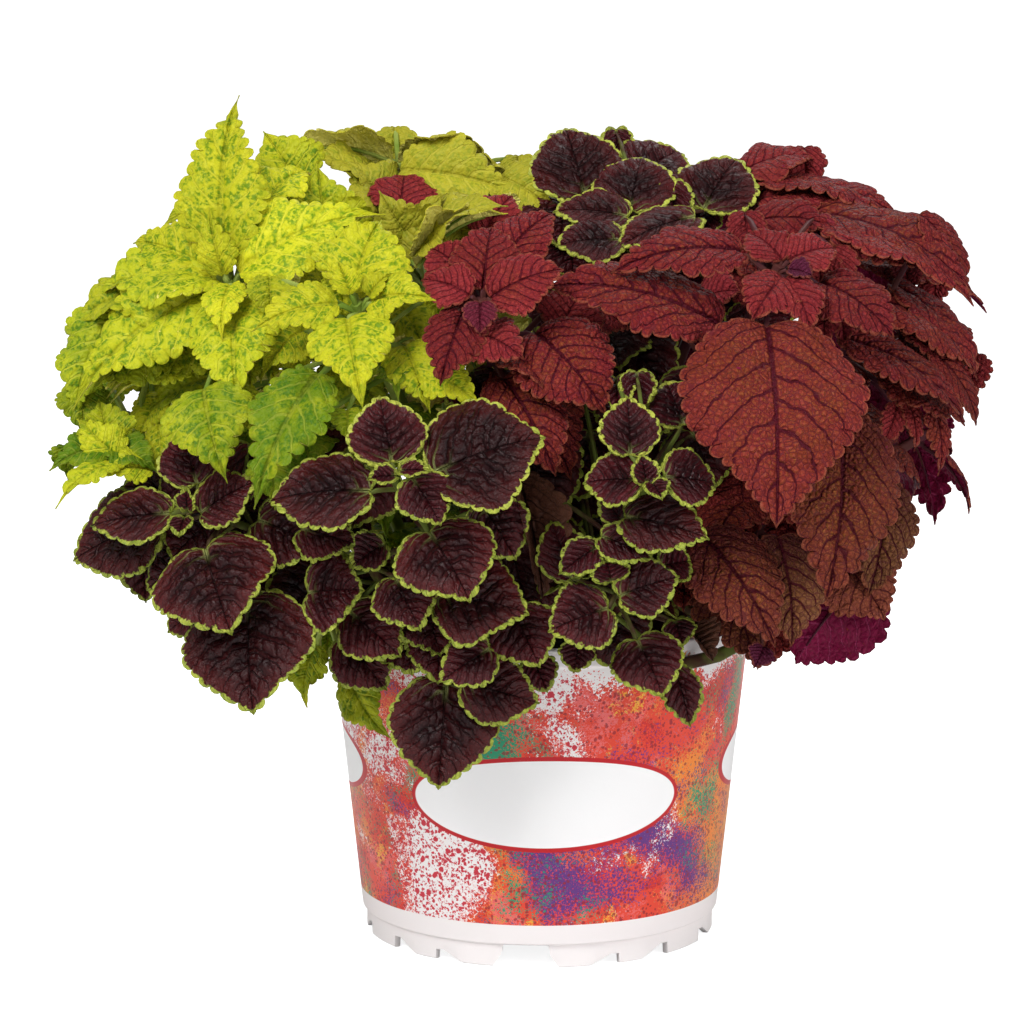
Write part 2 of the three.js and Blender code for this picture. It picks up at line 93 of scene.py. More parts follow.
KINDS = {
    "lime": LeafKind(
        widest=0.36, full=0.62, point=1.35, tail=1.6, arch=0.15, fold=0.4, curl=0.38,
        stem=5, stalk=2.2, pitch=4.9, tooth=2.3, bare=0.08, toothed_to=0.84, beads=0,
        laterals=7, sweep=0.34, pillow=1.1, pucker=8, ruffle=2.6, heart=0.03,
    ),
    "dark": LeafKind(
        widest=0.38, full=0.58, point=1.9, tail=1.1, arch=0.08, fold=0.2, curl=0.24,
        stem=3.8, stalk=1.8, pitch=6.0, tooth=1.9, bare=0.03, toothed_to=0.97, beads=0.45,
        laterals=6, sweep=0.46, pillow=1.0, pucker=8, ruffle=1.3, heart=0.08,
    ),
    "red": LeafKind(
        widest=0.38, full=0.62, point=1.75, tail=1.2, arch=0.13, fold=0.2, curl=0.32,
        stem=5, stalk=2.2, pitch=5.6, tooth=2.5, bare=0.16, toothed_to=0.95, beads=0,
        laterals=7, sweep=0.46, pillow=1.0, pucker=8, ruffle=1.6, heart=0.06,
    ),
}
BLADE_THICK, MARGIN_THICK = 0.6, 0.35


@dataclass
class Stem:
    """A leafy stem: its hole in the mix, the way it leans, its leaves as base, tip and width."""

    kind: str
    foot: tuple
    rise: float
    lean: tuple
    top: tuple
    face: tuple
    leaves: list = field(default_factory=list)
    buds: list = field(default_factory=list)  # the smallest leaves, at the tips
    turn: float = 0
    pairs: int = 0


FRONT_STEMS = {
    "lime_left": Stem(
        "lime", foot=(-46, -6), rise=190, lean=(-105, -35, 230), top=(-123, -46, 271),
        face=(-0.25, -0.75, 0.6),
        leaves=[
            (-124, -42, 277, -120, -12, 342, 37), (-128, -42, 274, -163, -14, 283, 34),
            (-127, -46, 269, -184, -52, 221, 40), (-118, -48, 275, -61, -40, 297, 38),
            (-118, -54, 264, -115, -88, 221, 36), (-130, -80, 233, -120, -97, 199, 38),
            (-121, -56, 271, -123, -76, 251, 18), (-110, -30, 300, -92, -4, 310, 24),
        ],
        buds=[(-124, -48, 274, -130, -44, 300, 16)],
    ),
    "lime_mid": Stem(
        "lime", foot=(-32, -22), rise=190, lean=(-60, -60, 230), top=(-71, -78, 266),
        face=(-0.1, -0.75, 0.65),
        leaves=[
            (-78, -80, 266, -111, -84, 256, 24), (-74, -84, 261, -67, -112, 229, 34),
            (-65, -80, 267, -40, -92, 269, 24), (-72, -74, 270, -62, -52, 296, 40),
            (-93, -66, 254, -108, -74, 237, 24), (-85, -88, 240, -109, -110, 191, 33),
            (-52, -80, 250, -42, -96, 226, 26), (-44, -88, 241, -22, -99, 228, 20),
            (-108, -80, 231, -126, -84, 214, 24),
        ],
        buds=[(-73, -80, 270, -78, -76, 282, 13), (-66, -80, 269, -57, -78, 278, 12)],
    ),
    "lime_side": Stem(
        "lime", foot=(-60, -2), rise=160, lean=(-120, -30, 185), top=(-162, -44, 206),
        face=(-0.4, -0.6, 0.6),
        leaves=[
            (-164, -66, 201, -187, -90, 188, 16), (-164, -64, 202, -182, -56, 218, 20),
            (-152, -66, 199, -175, -72, 197, 17), (-149, -36, 224, -159, -44, 206, 20),
            (-155, -30, 234, -175, -22, 224, 18),
        ],
        buds=[(-150, -50, 215, -145, -58, 192, 16)],
    ),
    "lime_back": Stem(
        "lime", foot=(-30, 8), rise=220, lean=(-50, 20, 270), top=(-59, 32, 311),
        face=(0, 0.5, 0.85),
        leaves=[
            (-61, 34, 313, -109, 24, 312, 34), (-58, 30, 312, -6, 20, 300, 40),
            (-49, -42, 277, -13, -34, 297, 42), (-46, -10, 248, -70, -34, 226, 38),
            (-38, -6, 225, -62, -38, 190, 42),
        ],
        buds=[(-16, -14, 300, -8, -20, 292, 12)],
    ),
    "lime_rim": Stem(
        "lime", foot=(-56, -30), rise=158, lean=(-84, -48, 165), top=(-84, -50, 135),
        face=(-0.6, -0.7, 0.3),
        leaves=[(-89, -44, 125, -93, -50, 101, 22), (-75, -62, 117, -59, -70, 93, 22)],
    ),
    "dark_left": Stem(
        "dark", foot=(-42, -44), rise=162, lean=(-95, -75, 165), top=(-135, -87, 190),
        face=(-0.25, -0.75, 0.6),
        leaves=[
            (-133, -80, 196, -139, -70, 217, 27), (-143, -84, 185, -175, -78, 179, 25),
            (-131, -90, 186, -109, -92, 199, 26), (-129, -94, 173, -117, -124, 145, 50),
            (-149, -66, 179, -184, -60, 162, 40), (-112, -100, 154, -109, -124, 114, 54),
            (-109, -88, 183, -81, -96, 172, 32),
        ],
        buds=[(-136, -90, 187, -136, -92, 197, 9), (-137, -92, 185, -139, -97, 178, 11)],
    ),
    "dark_mid": Stem(
        "dark", foot=(-24, -44), rise=160, lean=(-45, -100, 175), top=(-55, -126, 206),
        face=(0, -0.7, 0.7),
        leaves=[
            (-56, -122, 211, -61, -112, 235, 31), (-40, -124, 207, 2, -118, 220, 52),
            (-64, -124, 200, -103, -116, 195, 36), (-48, -130, 206, -37, -136, 189, 24),
            (-42, -126, 185, -26, -142, 161, 42), (-38, -118, 159, -4, -124, 153, 42),
        ],
        buds=[(-54, -130, 207, -65, -132, 206, 10), (-53, -130, 209, -41, -132, 209, 9)],
    ),
    "dark_low": Stem(
        "dark", foot=(-38, -60), rise=145, lean=(-60, -90, 150), top=(-66, -104, 170),
        face=(-0.1, -0.8, 0.5),
        leaves=[
            (-89, -107, 158, -67, -112, 160, 36), (-55, -118, 166, -45, -132, 148, 27),
            (-73, -104, 150, -53, -112, 134, 28), (-59, -112, 178, -72, -112, 169, 18),
            (-92, -96, 181, -70, -104, 176, 24), (-22, -108, 192, -9, -114, 172, 28),
            (-78, -84, 160, -108, -88, 142, 34),
        ],
    ),
    "dark_rim": Stem(
        "dark", foot=(-14, -62), rise=155, lean=(-22, -104, 165), top=(-30, -103, 128),
        face=(0, -0.95, 0.3),
        leaves=[
            (-36, -104, 123, -39, -112, 82, 43), (-29, -112, 124, 0, -112, 116, 28),
            (-19, -120, 139, -38, -130, 128, 22), (-10, -112, 152, 0, -122, 132, 30),
            (-76, -94, 138, -59, -98, 118, 26), (-12, -72, 172, -2, -86, 138, 38),
        ],
        buds=[(-3, -100, 132, 3, -102, 118, 16)],
    ),
    "dark_right": Stem(
        "dark", foot=(12, -42), rise=165, lean=(34, -95, 180), top=(42, -120, 206),
        face=(0.1, -0.75, 0.65),
        leaves=[
            (34, -116, 213, 33, -106, 234, 24), (38, -120, 204, 16, -116, 202, 26),
            (47, -120, 205, 67, -112, 201, 27), (32, -116, 189, 64, -124, 182, 28),
            (55, -92, 221, 48, -84, 237, 26),
        ],
        buds=[
            (40, -124, 203, 38, -122, 214, 12), (42, -124, 204, 46, -130, 198, 11),
            (32, -108, 186, 22, -104, 194, 15),
        ],
    ),
    "dark_knot": Stem(
        "dark", foot=(20, -62), rise=140, lean=(28, -92, 150), top=(31, -116, 163),
        face=(0.05, -0.8, 0.55),
        leaves=[
            (12, -108, 164, 4, -100, 185, 22), (23, -118, 182, 43, -122, 174, 18),
            (46, -110, 169, 58, -104, 170, 20), (30, -124, 160, 53, -120, 167, 26),
            (26, -122, 155, 3, -128, 147, 30), (37, -112, 141, 47, -124, 121, 30),
            (52, -98, 127, 58, -104, 105, 17), (22, -76, 152, 34, -88, 122, 34),
        ],
        buds=[
            (22, -118, 178, 7, -122, 168, 16), (27, -122, 165, 25, -120, 174, 16),
            (15, -104, 138, 13, -108, 127, 15), (52, -98, 146, 55, -102, 136, 14),
        ],
    ),
    "dark_top": Stem(
        "dark", foot=(6, 2), rise=200, lean=(30, 0, 260), top=(42, -4, 291),
        face=(0, -0.55, 0.8),
        leaves=[
            (18, 6, 299, 10, 30, 326, 40), (36, -2, 295, 41, 20, 315, 35),
            (66, 4, 295, 80, 24, 314, 36), (35, -8, 293, 5, -6, 295, 28),
            (62, -8, 293, 30, -26, 282, 24), (32, -22, 285, 6, -24, 283, 30),
            (22, -12, 250, 54, -30, 224, 42), (10, -14, 238, -16, -34, 212, 40),
        ],
    ),
    "red_left": Stem(
        "red", foot=(-6, -28), rise=190, lean=(-18, -62, 235), top=(-23, -82, 268),
        face=(0, -0.7, 0.7),
        leaves=[
            (-27, -84, 270, -46, -76, 275, 22), (-22, -80, 272, -19, -58, 294, 28),
            (-19, -86, 269, 9, -84, 280, 29), (-29, -86, 264, -38, -106, 238, 24),
            (-27, -90, 257, -6, -98, 247, 24), (-27, -70, 274, -43, -54, 285, 26),
            (-16, -68, 280, 5, -46, 298, 24), (-2, -80, 255, 25, -98, 226, 42),
            (-14, -84, 238, 6, -104, 203, 34),
        ],
        buds=[(-23, -90, 268, -23, -98, 256, 14)],
    ),
    "red_right": Stem(
        "red", foot=(32, -14), rise=190, lean=(75, -45, 235), top=(93, -60, 279),
        face=(0.1, -0.6, 0.75),
        leaves=[
            (94, -66, 275, 81, -86, 260, 24), (95, -66, 275, 104, -84, 256, 22),
            (94, -58, 281, 81, -44, 290, 21), (97, -58, 281, 116, -48, 284, 22),
            (109, -56, 272, 137, -72, 252, 32), (78, -58, 284, 27, -78, 278, 28),
            (84, -18, 292, 117, -22, 290, 24), (69, -72, 257, 1, -74, 272, 40),
            (87, -84, 258, 89, -128, 187, 72),
        ],
        buds=[(96, -64, 278, 106, -66, 275, 12)],
    ),
    "red_back": Stem(
        "red", foot=(36, 14), rise=210, lean=(70, 15, 260), top=(88, 18, 302),
        face=(0.2, -0.2, 0.95),
        leaves=[
            (89, 18, 304, 146, 4, 290, 30), (114, -20, 288, 172, -30, 260, 34),
            (120, 12, 274, 184, 34, 250, 36),
        ],
    ),
    "red_side": Stem(
        "red", foot=(56, 6), rise=170, lean=(110, -10, 220), top=(140, -16, 262),
        face=(0.5, -0.45, 0.7),
        leaves=[
            (141, -10, 266, 175, -20, 229, 26), (118, -50, 249, 167, -54, 217, 30),
            (144, -24, 253, 162, -26, 235, 22), (153, -34, 226, 158, -40, 193, 13),
        ],
        buds=[(144, -40, 225, 148, -46, 204, 11), (141, -44, 223, 134, -50, 206, 11)],
    ),
    "red_front": Stem(
        "red", foot=(44, -34), rise=160, lean=(90, -60, 190), top=(112, -76, 224),
        face=(0.3, -0.75, 0.5),
        leaves=[(115, -84, 224, 109, -112, 156, 50), (135, -60, 194, 128, -76, 151, 30)],
    ),
    "red_low": Stem(
        "red", foot=(60, -30), rise=145, lean=(76, -60, 165), top=(86, -78, 176),
        face=(0.3, -0.8, 0.4),
        leaves=[
            (62, -92, 178, 90, -112, 138, 38), (68, -62, 160, 84, -80, 124, 34),
            (92, -84, 176, 97, -96, 135, 36),
        ],
        buds=[(87, -84, 133, 83, -88, 125, 12)],
    ),
}

REAR_STEMS = {
    "lime_rear_high": Stem(
        "lime", foot=(-34, 26), rise=200, lean=(-75, 48, 245), top=(-94, 70, 282),
        face=(-0.35, 0.55, 0.75), turn=60, pairs=3,
    ),
    "lime_rear_mid": Stem(
        "lime", foot=(-22, 40), rise=180, lean=(-38, 80, 210), top=(-50, 112, 240),
        face=(-0.2, 0.75, 0.6), turn=80, pairs=3,
    ),
    "lime_flank": Stem(
        "lime", foot=(-66, 14), rise=150, lean=(-118, 18, 180), top=(-150, 24, 202),
        face=(-0.8, 0.2, 0.5), turn=30, pairs=2,
    ),
    "dark_rear": Stem(
        "dark", foot=(6, 46), rise=165, lean=(10, 98, 195), top=(18, 134, 215),
        face=(0, 0.8, 0.6), turn=20, pairs=3,
    ),
    "dark_rear_left": Stem(
        "dark", foot=(-26, 58), rise=140, lean=(-40, 92, 150), top=(-46, 122, 158),
        face=(-0.2, 0.85, 0.45), turn=80, pairs=2,
    ),
    "dark_rear_right": Stem(
        "dark", foot=(28, 58), rise=140, lean=(42, 92, 152), top=(50, 122, 160),
        face=(0.3, 0.85, 0.4), turn=60, pairs=2,
    ),
    "red_rear_high": Stem(
        "red", foot=(34, 32), rise=200, lean=(66, 54, 248), top=(78, 84, 280),
        face=(0.3, 0.6, 0.75), turn=80, pairs=3,
    ),
    "red_rear_mid": Stem(
        "red", foot=(52, 30), rise=170, lean=(110, 62, 214), top=(152, 87, 243),
        face=(0.35, 0.7, 0.6), turn=60, pairs=3,
    ),
    "red_flank": Stem(
        "red", foot=(66, 10), rise=156, lean=(118, 24, 175), top=(160, 32, 200),
        face=(0.85, 0.15, 0.5), turn=70, pairs=2,
    ),
    "dark_crown": Stem(
        "dark", foot=(0, 22), rise=210, lean=(-2, 45, 265), top=(-4, 54, 300),
        face=(0, 0.35, 0.95), turn=0, pairs=3,
    ),
}
STEMS = {**FRONT_STEMS, **REAR_STEMS}

# Leaves that only show between others: base, tip, width and the way the upper side faces,
# which is AHEAD where it isn't given.
AHEAD = (0, -0.8, 0.5)
BEHIND = {
    "lime_back": [
        (-46, -30, 281, -13, -46, 301, 42, -0.3, -0.35, 0.9),
        (-51, -30, 277, -37, -24, 304, 38, -0.5, -0.5, 0.6),
        (-65, 24, 301, -98, 20, 314, 40, 0, -0.2, 0.9),
        (-57, 20, 309, -6, 14, 299, 36, 0.1, -0.85, 0.4),
        (-16, 16, 307, 6, 8, 293, 28, 0.1, -0.8, 0.4),
        (-49, -22, 281, -64, -26, 305, 36, -0.4, -0.6, 0.6),
        (-59, 10, 292, -85, 16, 312, 38, -0.1, -0.3, 0.9),
        (-45, 20, 299, -16, 20, 305, 34, 0.1, -0.3, 0.9), (-9, 39, 314, -8, 31, 292, 20),
        (-60, 49, 325, -59, 41, 303, 20), (-38, 44, 304, -37, 36, 287, 16),
        (-56, 47, 315, -55, 39, 301, 14), (-32, -20, 299, -31, -28, 275, 23),
    ],
    "lime_left": [
        (-95, -40, 213, -90, -52, 193, 30, 0.1, -0.8, 0.5),
        (-92, -5, 298, -112, 5, 306, 26, -0.2, -0.5, 0.8),
        (-125, -44, 271, -178, -30, 262, 46, -0.2, -0.45, 0.85),
        (-129, -30, 262, -182, -28, 241, 40, -0.3, -0.5, 0.75),
        (-97, 0, 303, -112, 10, 326, 34, -0.2, -0.6, 0.7),
        (-121, -40, 251, -172, -44, 224, 34, -0.3, -0.6, 0.6),
        (-119, -32, 234, -158, -40, 215, 36, -0.3, -0.6, 0.6),
        (-138, -36, 267, -186, -34, 251, 44, -0.2, -0.5, 0.8),
        (-167, -34, 262, -178, -40, 219, 34, -0.3, -0.7, 0.6),
        (-173, -38, 250, -183, -44, 216, 28, -0.3, -0.7, 0.6),
        (-143, -38, 249, -186, -42, 219, 38, -0.3, -0.6, 0.7),
        (-128, -44, 240, -170, -46, 223, 24, -0.2, -0.5, 0.8),
        (-120, -30, 226, -142, -42, 196, 34, -0.3, -0.7, 0.5),
        (-111, -24, 223, -121, -34, 190, 36, -0.1, -0.8, 0.5),
        (-102, -30, 222, -99, -40, 191, 36, 0.1, -0.8, 0.5),
        (-124, -20, 295, -150, -16, 291, 30, -0.3, -0.5, 0.8),
        (-181, -38, 230, -180, -46, 208, 22), (-114, -56, 243, -113, -64, 229, 14),
        (-128, -56, 205, -127, -64, 191, 14),
    ],
    "lime_mid": [
        (-42, -58, 245, -45, -74, 223, 27, 0.1, 0.5, 0.6),
        (-28, -60, 246, -24, -70, 227, 24, 0.2, 0.5, 0.6),
        (-84, -20, 281, -89, -10, 314, 38, -0.1, -0.7, 0.6),
        (-81, -46, 264, -89, -36, 278, 30, -0.1, -0.7, 0.6),
        (-58, -44, 264, -46, -52, 245, 30, 0.2, -0.7, 0.6),
        (-83, -50, 241, -59, -56, 218, 36, 0.2, -0.8, 0.5), (-103, -86, 209, -102, -94, 188, 21),
        (-77, -61, 275, -76, -69, 256, 20), (-105, -65, 275, -104, -73, 257, 19),
        (-96, -52, 248, -95, -60, 232, 16), (-111, -54, 249, -109, -62, 233, 16),
        (-39, -64, 269, -39, -72, 256, 14), (-74, -94, 227, -73, -102, 214, 14),
        (-106, -54, 245, -104, -62, 232, 14), (-93, -57, 262, -92, -65, 247, 15),
    ],
    "lime_side": [
        (-168, -58, 207, -174, -50, 225, 24, -0.1, -0.6, 0.7),
        (-168, -60, 207, -149, -66, 198, 20, 0.1, -0.6, 0.7),
        (-169, -60, 207, -192, -66, 199, 20, -0.1, -0.6, 0.7),
        (-156, -12, 235, -155, -20, 214, 20), (-186, -54, 207, -185, -62, 194, 14),
        (-177, -10, 232, -176, -18, 207, 24), (-162, -24, 216, -161, -32, 202, 14),
    ],
    "red_left": [
        (64, -20, 261, 80, -26, 265, 30, 0.1, -0.6, 0.8),
        (-56, -6, 295, -55, 14, 308, 28, 0, -0.6, 0.8),
        (-23, -36, 288, -11, -24, 303, 24, 0.1, -0.6, 0.8),
        (8, -64, 254, 17, -50, 268, 28, 0.1, -0.6, 0.8),
        (-14, -66, 239, 12, -80, 198, 40, 0.3, -0.8, 0.5), (-16, -58, 234, -8, -66, 199, 36),
        (8, -44, 264, 35, -44, 252, 34, 0.1, -0.6, 0.7), (-30, -68, 272, -29, -76, 259, 14),
    ],
    "dark_mid": [
        (-27, -66, 238, -16, -80, 221, 30, 0.1, -0.8, 0.5),
        (-8, -70, 212, 8, -78, 182, 40, 0.1, -0.8, 0.5),
        (-12, -60, 198, 3, -70, 164, 38, 0.1, -0.8, 0.4),
        (-62, -80, 202, -73, -92, 180, 32, -0.2, -0.8, 0.5),
    ],
    "dark_low": [
        (-57, -80, 166, -62, -96, 143, 34, -0.1, -0.8, 0.4),
        (-54, -92, 153, -59, -106, 135, 30, -0.1, -0.9, 0.3),
        (-45, -96, 153, -38, -110, 134, 30, 0.1, -0.9, 0.3),
        (-74, -76, 157, -85, -92, 140, 34, -0.2, -0.8, 0.4),
        (-52, -98, 145, -49, -108, 126, 30, -0.1, -0.9, 0.3),
        (-39, -100, 143, -39, -110, 123, 26, 0.1, -0.9, 0.3), (-71, -85, 185, -70, -93, 172, 14),
    ],
    "dark_left": [
        (-110, -60, 171, -107, -72, 149, 34), (-87, -50, 197, -93, -40, 211, 34, -0.1, -0.8, 0.5),
        (-127, -66, 180, -144, -76, 165, 36, -0.3, -0.7, 0.5),
        (-134, -60, 194, -150, -58, 186, 30, -0.3, -0.6, 0.6),
        (-134, -56, 186, -166, -50, 190, 32, -0.3, -0.5, 0.8),
        (-133, -76, 165, -154, -74, 153, 32, -0.4, -0.7, 0.5),
        (-124, -84, 151, -145, -84, 138, 30, -0.3, -0.7, 0.5),
        (-118, -66, 187, -97, -80, 166, 38, 0.1, -0.8, 0.5), (-158, -46, 166, -156, -54, 144, 22),
        (-113, -74, 211, -112, -82, 190, 21),
    ],
    "dark_right": [
        (6, -30, 266, -2, -40, 251, 30), (63, -50, 225, 55, -60, 206, 30),
        (14, -40, 195, 12, -52, 173, 36), (12, -30, 214, 20, -40, 195, 34),
        (47, -40, 231, 59, -50, 217, 34), (19, -60, 214, 15, -72, 188, 38, -0.1, -0.8, 0.5),
        (39, -60, 226, 33, -76, 209, 32, -0.1, -0.8, 0.5),
        (59, -60, 214, 68, -76, 193, 34, 0.1, -0.8, 0.5), (29, -88, 239, 30, -96, 226, 14),
        (37, -88, 241, 38, -96, 226, 15),
    ],
    "dark_knot": [
        (23, -70, 164, 17, -90, 136, 36, -0.1, -0.8, 0.4),
        (0, -60, 179, 3, -80, 150, 36, 0, -0.8, 0.4), (43, -101, 180, 44, -109, 166, 14),
    ],
    "dark_top": [
        (88, -10, 260, 93, -20, 245, 34), (81, 0, 263, 79, -10, 248, 34),
        (10, 10, 298, 8, -6, 280, 40, 0, -0.7, 0.6), (40, 10, 294, 44, -6, 275, 40, 0, -0.7, 0.6),
        (40, 18, 308, 57, 34, 316, 34, 0.1, -0.5, 0.8),
        (13, 4, 284, 13, -8, 266, 30, 0, -0.7, 0.6), (53, 7, 306, 54, -1, 288, 17),
        (31, 38, 325, 32, 30, 310, 14), (67, 16, 294, 67, 8, 280, 14),
    ],
    "red_back": [
        (105, 0, 277, 124, -10, 275, 34, 0.2, -0.5, 0.8),
        (85, 0, 274, 92, -14, 253, 36, 0.1, -0.6, 0.7),
        (71, 10, 282, 74, 0, 263, 36, 0, -0.6, 0.7),
        (83, 22, 309, 111, 26, 314, 34, 0.1, -0.3, 0.9),
        (81, 16, 302, 90, 34, 312, 28, 0, -0.5, 0.8),
        (107, -6, 294, 172, -26, 265, 46, 0.25, -0.45, 0.85),
        (89, 10, 298, 125, 6, 297, 36, 0.1, -0.35, 0.9), (116, -34, 284, 116, -42, 266, 19),
        (108, 32, 318, 108, 24, 300, 18), (148, 7, 275, 148, -1, 260, 14),
        (160, 16, 272, 160, 8, 254, 17),
    ],
    "red_side": [
        (152, -10, 294, 170, -14, 264, 22, 0.4, -0.5, 0.7),
        (155, -30, 242, 174, -30, 212, 20, 0.4, -0.5, 0.6),
        (135, -20, 261, 174, -22, 232, 34, 0.5, -0.4, 0.7),
        (134, -40, 235, 168, -44, 214, 30, 0.4, -0.5, 0.7),
        (145, -10, 248, 172, -10, 215, 36, 0.5, -0.5, 0.6), (174, -1, 237, 174, -9, 220, 17),
        (118, -44, 262, 119, -52, 247, 15),
    ],
    "red_front": [
        (117, -66, 164, 135, -72, 141, 36, 0.3, -0.8, 0.4),
        (102, -60, 198, 125, -70, 172, 40, 0.3, -0.8, 0.4),
    ],
    "red_low": [
        (130, -64, 161, 99, -90, 127, 46, -0.3, 0.8, -0.25),
        (95, -66, 148, 85, -76, 122, 24, 0.1, -0.8, 0.4),
        (99, -50, 189, 95, -64, 163, 36, 0.1, -0.8, 0.4),
        (78, -60, 198, 80, -76, 173, 40, 0.1, -0.8, 0.4),
        (87, -56, 162, 86, -72, 137, 40, 0.1, -0.8, 0.4),
    ],
    "red_right": [
        (109, -41, 282, 110, -49, 263, 19), (81, -28, 297, 82, -36, 281, 16),
        (27, -5, 281, 27, -13, 267, 14), (110, -62, 265, 110, -70, 249, 17),
        (110, -17, 295, 111, -25, 281, 14),
    ],
    "lime_rim": [
        (-86, -28, 134, -85, -36, 117, 18),
    ],
}

# How far a leaf has browned, by its place in the stem's list; on red leaves the same value also
# darkens the base as a painted shadow.
BROWNED_AND_SHADOWED_LEAVES = {
    "red_low": {0: 0.3, 1: 0.5, 2: 0.9},
    "red_front": {0: 0.25, 1: 0.9, 2: 0.8},
}

# The most shade that reaches the outer leaves of a stem in the open.
OPEN_STEMS = {"lime_side": 0.25, "lime_rim": 0.6}

# How far all leaves of a stem have dulled.
STEM_AGE = {"lime_back": 0.75}

# Dried, folded leaves caught between the others.
DRY_LEAVES = {
    "dark_right": [(-8, -86, 198, 1, -98, 154, 20, 0.3, -0.8, 0.3)],
    "dark_knot": [(59, -86, 139, 67, -94, 129, 13, 0.2, -0.8, 0.5)],
}

# Side shoots without leaves, as points with a thickness.
BARE_SHOOTS = {
    "dark_rim": [
        [(56, -66, 122, 5), (70, -68, 126, 5), (84, -66, 133, 4)],
        [(46, -56, 150, 3.6), (60, -60, 142, 3.8), (72, -60, 134, 4)],
    ],
}

# Crossed pairs of a rear stem: length, width, droop in degrees, distance below the tip.
PAIRS = {
    "lime": [(36, 26, 0, 3), (52, 36, 18, 14), (64, 42, 32, 34)],
    "dark": [(26, 25, 0, 3), (38, 37, 15, 12), (46, 44, 30, 30)],
    "red": [(34, 26, 0, 3), (52, 38, 20, 14), (64, 44, 34, 34)],
}
TIP_PAIR = {"lime": (15, 9, -35, -1), "dark": (11, 10, -30, -1), "red": (14, 10, -35, -1)}
TIP_QUARTERS = 5  # quarter turns from the first pair to the one round the tip
PAIR_OUT = 0.08  # from the stem to the base of a pair's leaf, as a share of its length

STEM_FOOT = 109  # height of the holes in the mix
STEM_STEPS, STEM_TAPER = 26, 0.22
# How far below a leaf its stalk starts, and the lowest place for that, as shares of the stem.
STALK_BELOW, STALK_LOWEST = 0.04, 0.15
# Bow of a stalk as a share of its length, for those longer than BEND_FROM and for the others.
STALK_BOW, BEND_FROM, SHORT_BOW = 0.12, 30, 0.05
STALK_SHARES = (0.2, 0.4, 0.6, 0.8)
# Thickness where a stalk leaves the stem, where it enters the blade, and its loss with each step
# along the blade, as shares of the stalk's; how deep it is sunk in the blade at the base.
STALK_FOOT, RIB_START, RIB_LOSS, RIB_SUNK = 1.15, 0.75, 0.09, 0.3

# Leaves with their tip this high are fully lit; so far below that they are fully shaded.
LIT_ABOVE, DIM_OVER = 240, 58
DEEPER_SHADE = 0.3  # added behind others
# A leaf is folded up to the first length and open from the second.
FOLDED_TO, OPEN_FROM = 12, 26
FOLD_TIGHT, DRY_TIGHT = 0.8, 4.0

# Each inner pair: place along the stem, length of its leaves and their droop in degrees.
INNER_PAIRS = [(0.26, 36, 18), (0.36, 34, 26), (0.5, 36, 30), (0.66, 40, 24), (0.8, 38, 20)]
INNER_WIDTH = {"lime": 0.62, "dark": 0.86, "red": 0.66}
INNER_TURN = (45, 85)  # degrees to either side of the way out of the bush
INNER_SCATTER = 8  # degrees more or less of droop
INNER_LONG = (0.85, 1.1)
INNER_OUT = 5  # from the stem to the base of the leaf
INNER_UPWARD = 55  # upward part of the way it faces; the level part is its reach

# Places within one tooth, from its start, and columns from the midrib to the margin.
TOOTH_STEPS = (0, 0.1, 0.32, 0.6, 0.86)
TOOTH_STEPS_SMALL = (0, 0.18, 0.5, 0.82)
TOOTH_WIDTHS, TOOTH_HEIGHTS = (0.6, 1.4), (0.8, 1.15)  # how unlike they are
TOOTH_MIDDLE = 0.62  # height in a tooth at which the margin is where the outline says
ACROSS = np.array([0, 0.08, 0.2, 0.33, 0.46, 0.58, 0.7, 0.8, 0.89, 0.95, 1])
ACROSS_SMALL = np.array([0, 0.12, 0.33, 0.55, 0.75, 0.9, 1])
SMALL_LEAF = 26  # shorter leaves have fewer columns
SPINE = np.linspace(0.02, 0.8, 7)  # places along a blade that its stalk runs through
SLOPE_STEP = 0.004  # to either side of the place where the margin's slope is taken


def smoothstep(value, low, high):
    """A soft step from 0 at low to 1 at high."""
    share = np.clip((value - low) / (high - low), 0, 1)
    return share * share * (3 - 2 * share)


def unit(vector):
    """The same way, one long."""
    return vector / np.linalg.norm(vector)


def outline(kind, along):
    """Half width of a blade without its teeth, as a share of its greatest half width."""
    rising = np.sin(math.pi / 2 * np.clip(along / kind.widest, 0, 1) ** kind.full)
    beyond = np.clip((along - kind.widest) / (1 - kind.widest), 0, 1)
    return np.where(along < kind.widest, rising, (1 - beyond**kind.point) ** kind.tail)


def margin_rows(kind, length, half, chance, small):
    """Places along the leaf, spaced evenly along its margin, with the tooth's height at each."""
    along = np.linspace(0, 1, 400)
    steps = np.hypot(np.diff(along) * length, np.diff(half * outline(kind, along)))
    run = np.concatenate([[0], np.cumsum(steps)])
    first, last = kind.bare * run[-1], kind.toothed_to * run[-1]
    teeth = max(4, round((last - first) / (kind.pitch * min(1.1, 0.5 + length / 100))))
    phases = TOOTH_STEPS_SMALL if small else TOOTH_STEPS
    ends = np.cumsum([0] + [chance.uniform(*TOOTH_WIDTHS) for _ in range(teeth)])
    ends = first + (last - first) * ends / ends[-1]
    marks, heights = [], []
    for start, end in zip(ends, ends[1:]):
        high = chance.uniform(*TOOTH_HEIGHTS)
        marks += [start + (end - start) * phase for phase in phases]
        heights += [high * math.sqrt(1 - (2 * phase - 1) ** 2) for phase in phases]
    lead = list(np.linspace(0, first, 4 if small else 6)[:-1])
    trail = list(np.linspace(last, run[-1], 3 + round((run[-1] - last) / 3)))
    marks = lead + marks + trail
    heights = [TOOTH_MIDDLE] * len(lead) + heights + [0.3] + [TOOTH_MIDDLE] * (len(trail) - 1)
    return np.interp(marks, run, along)[:, None], np.array(heights)[:, None]


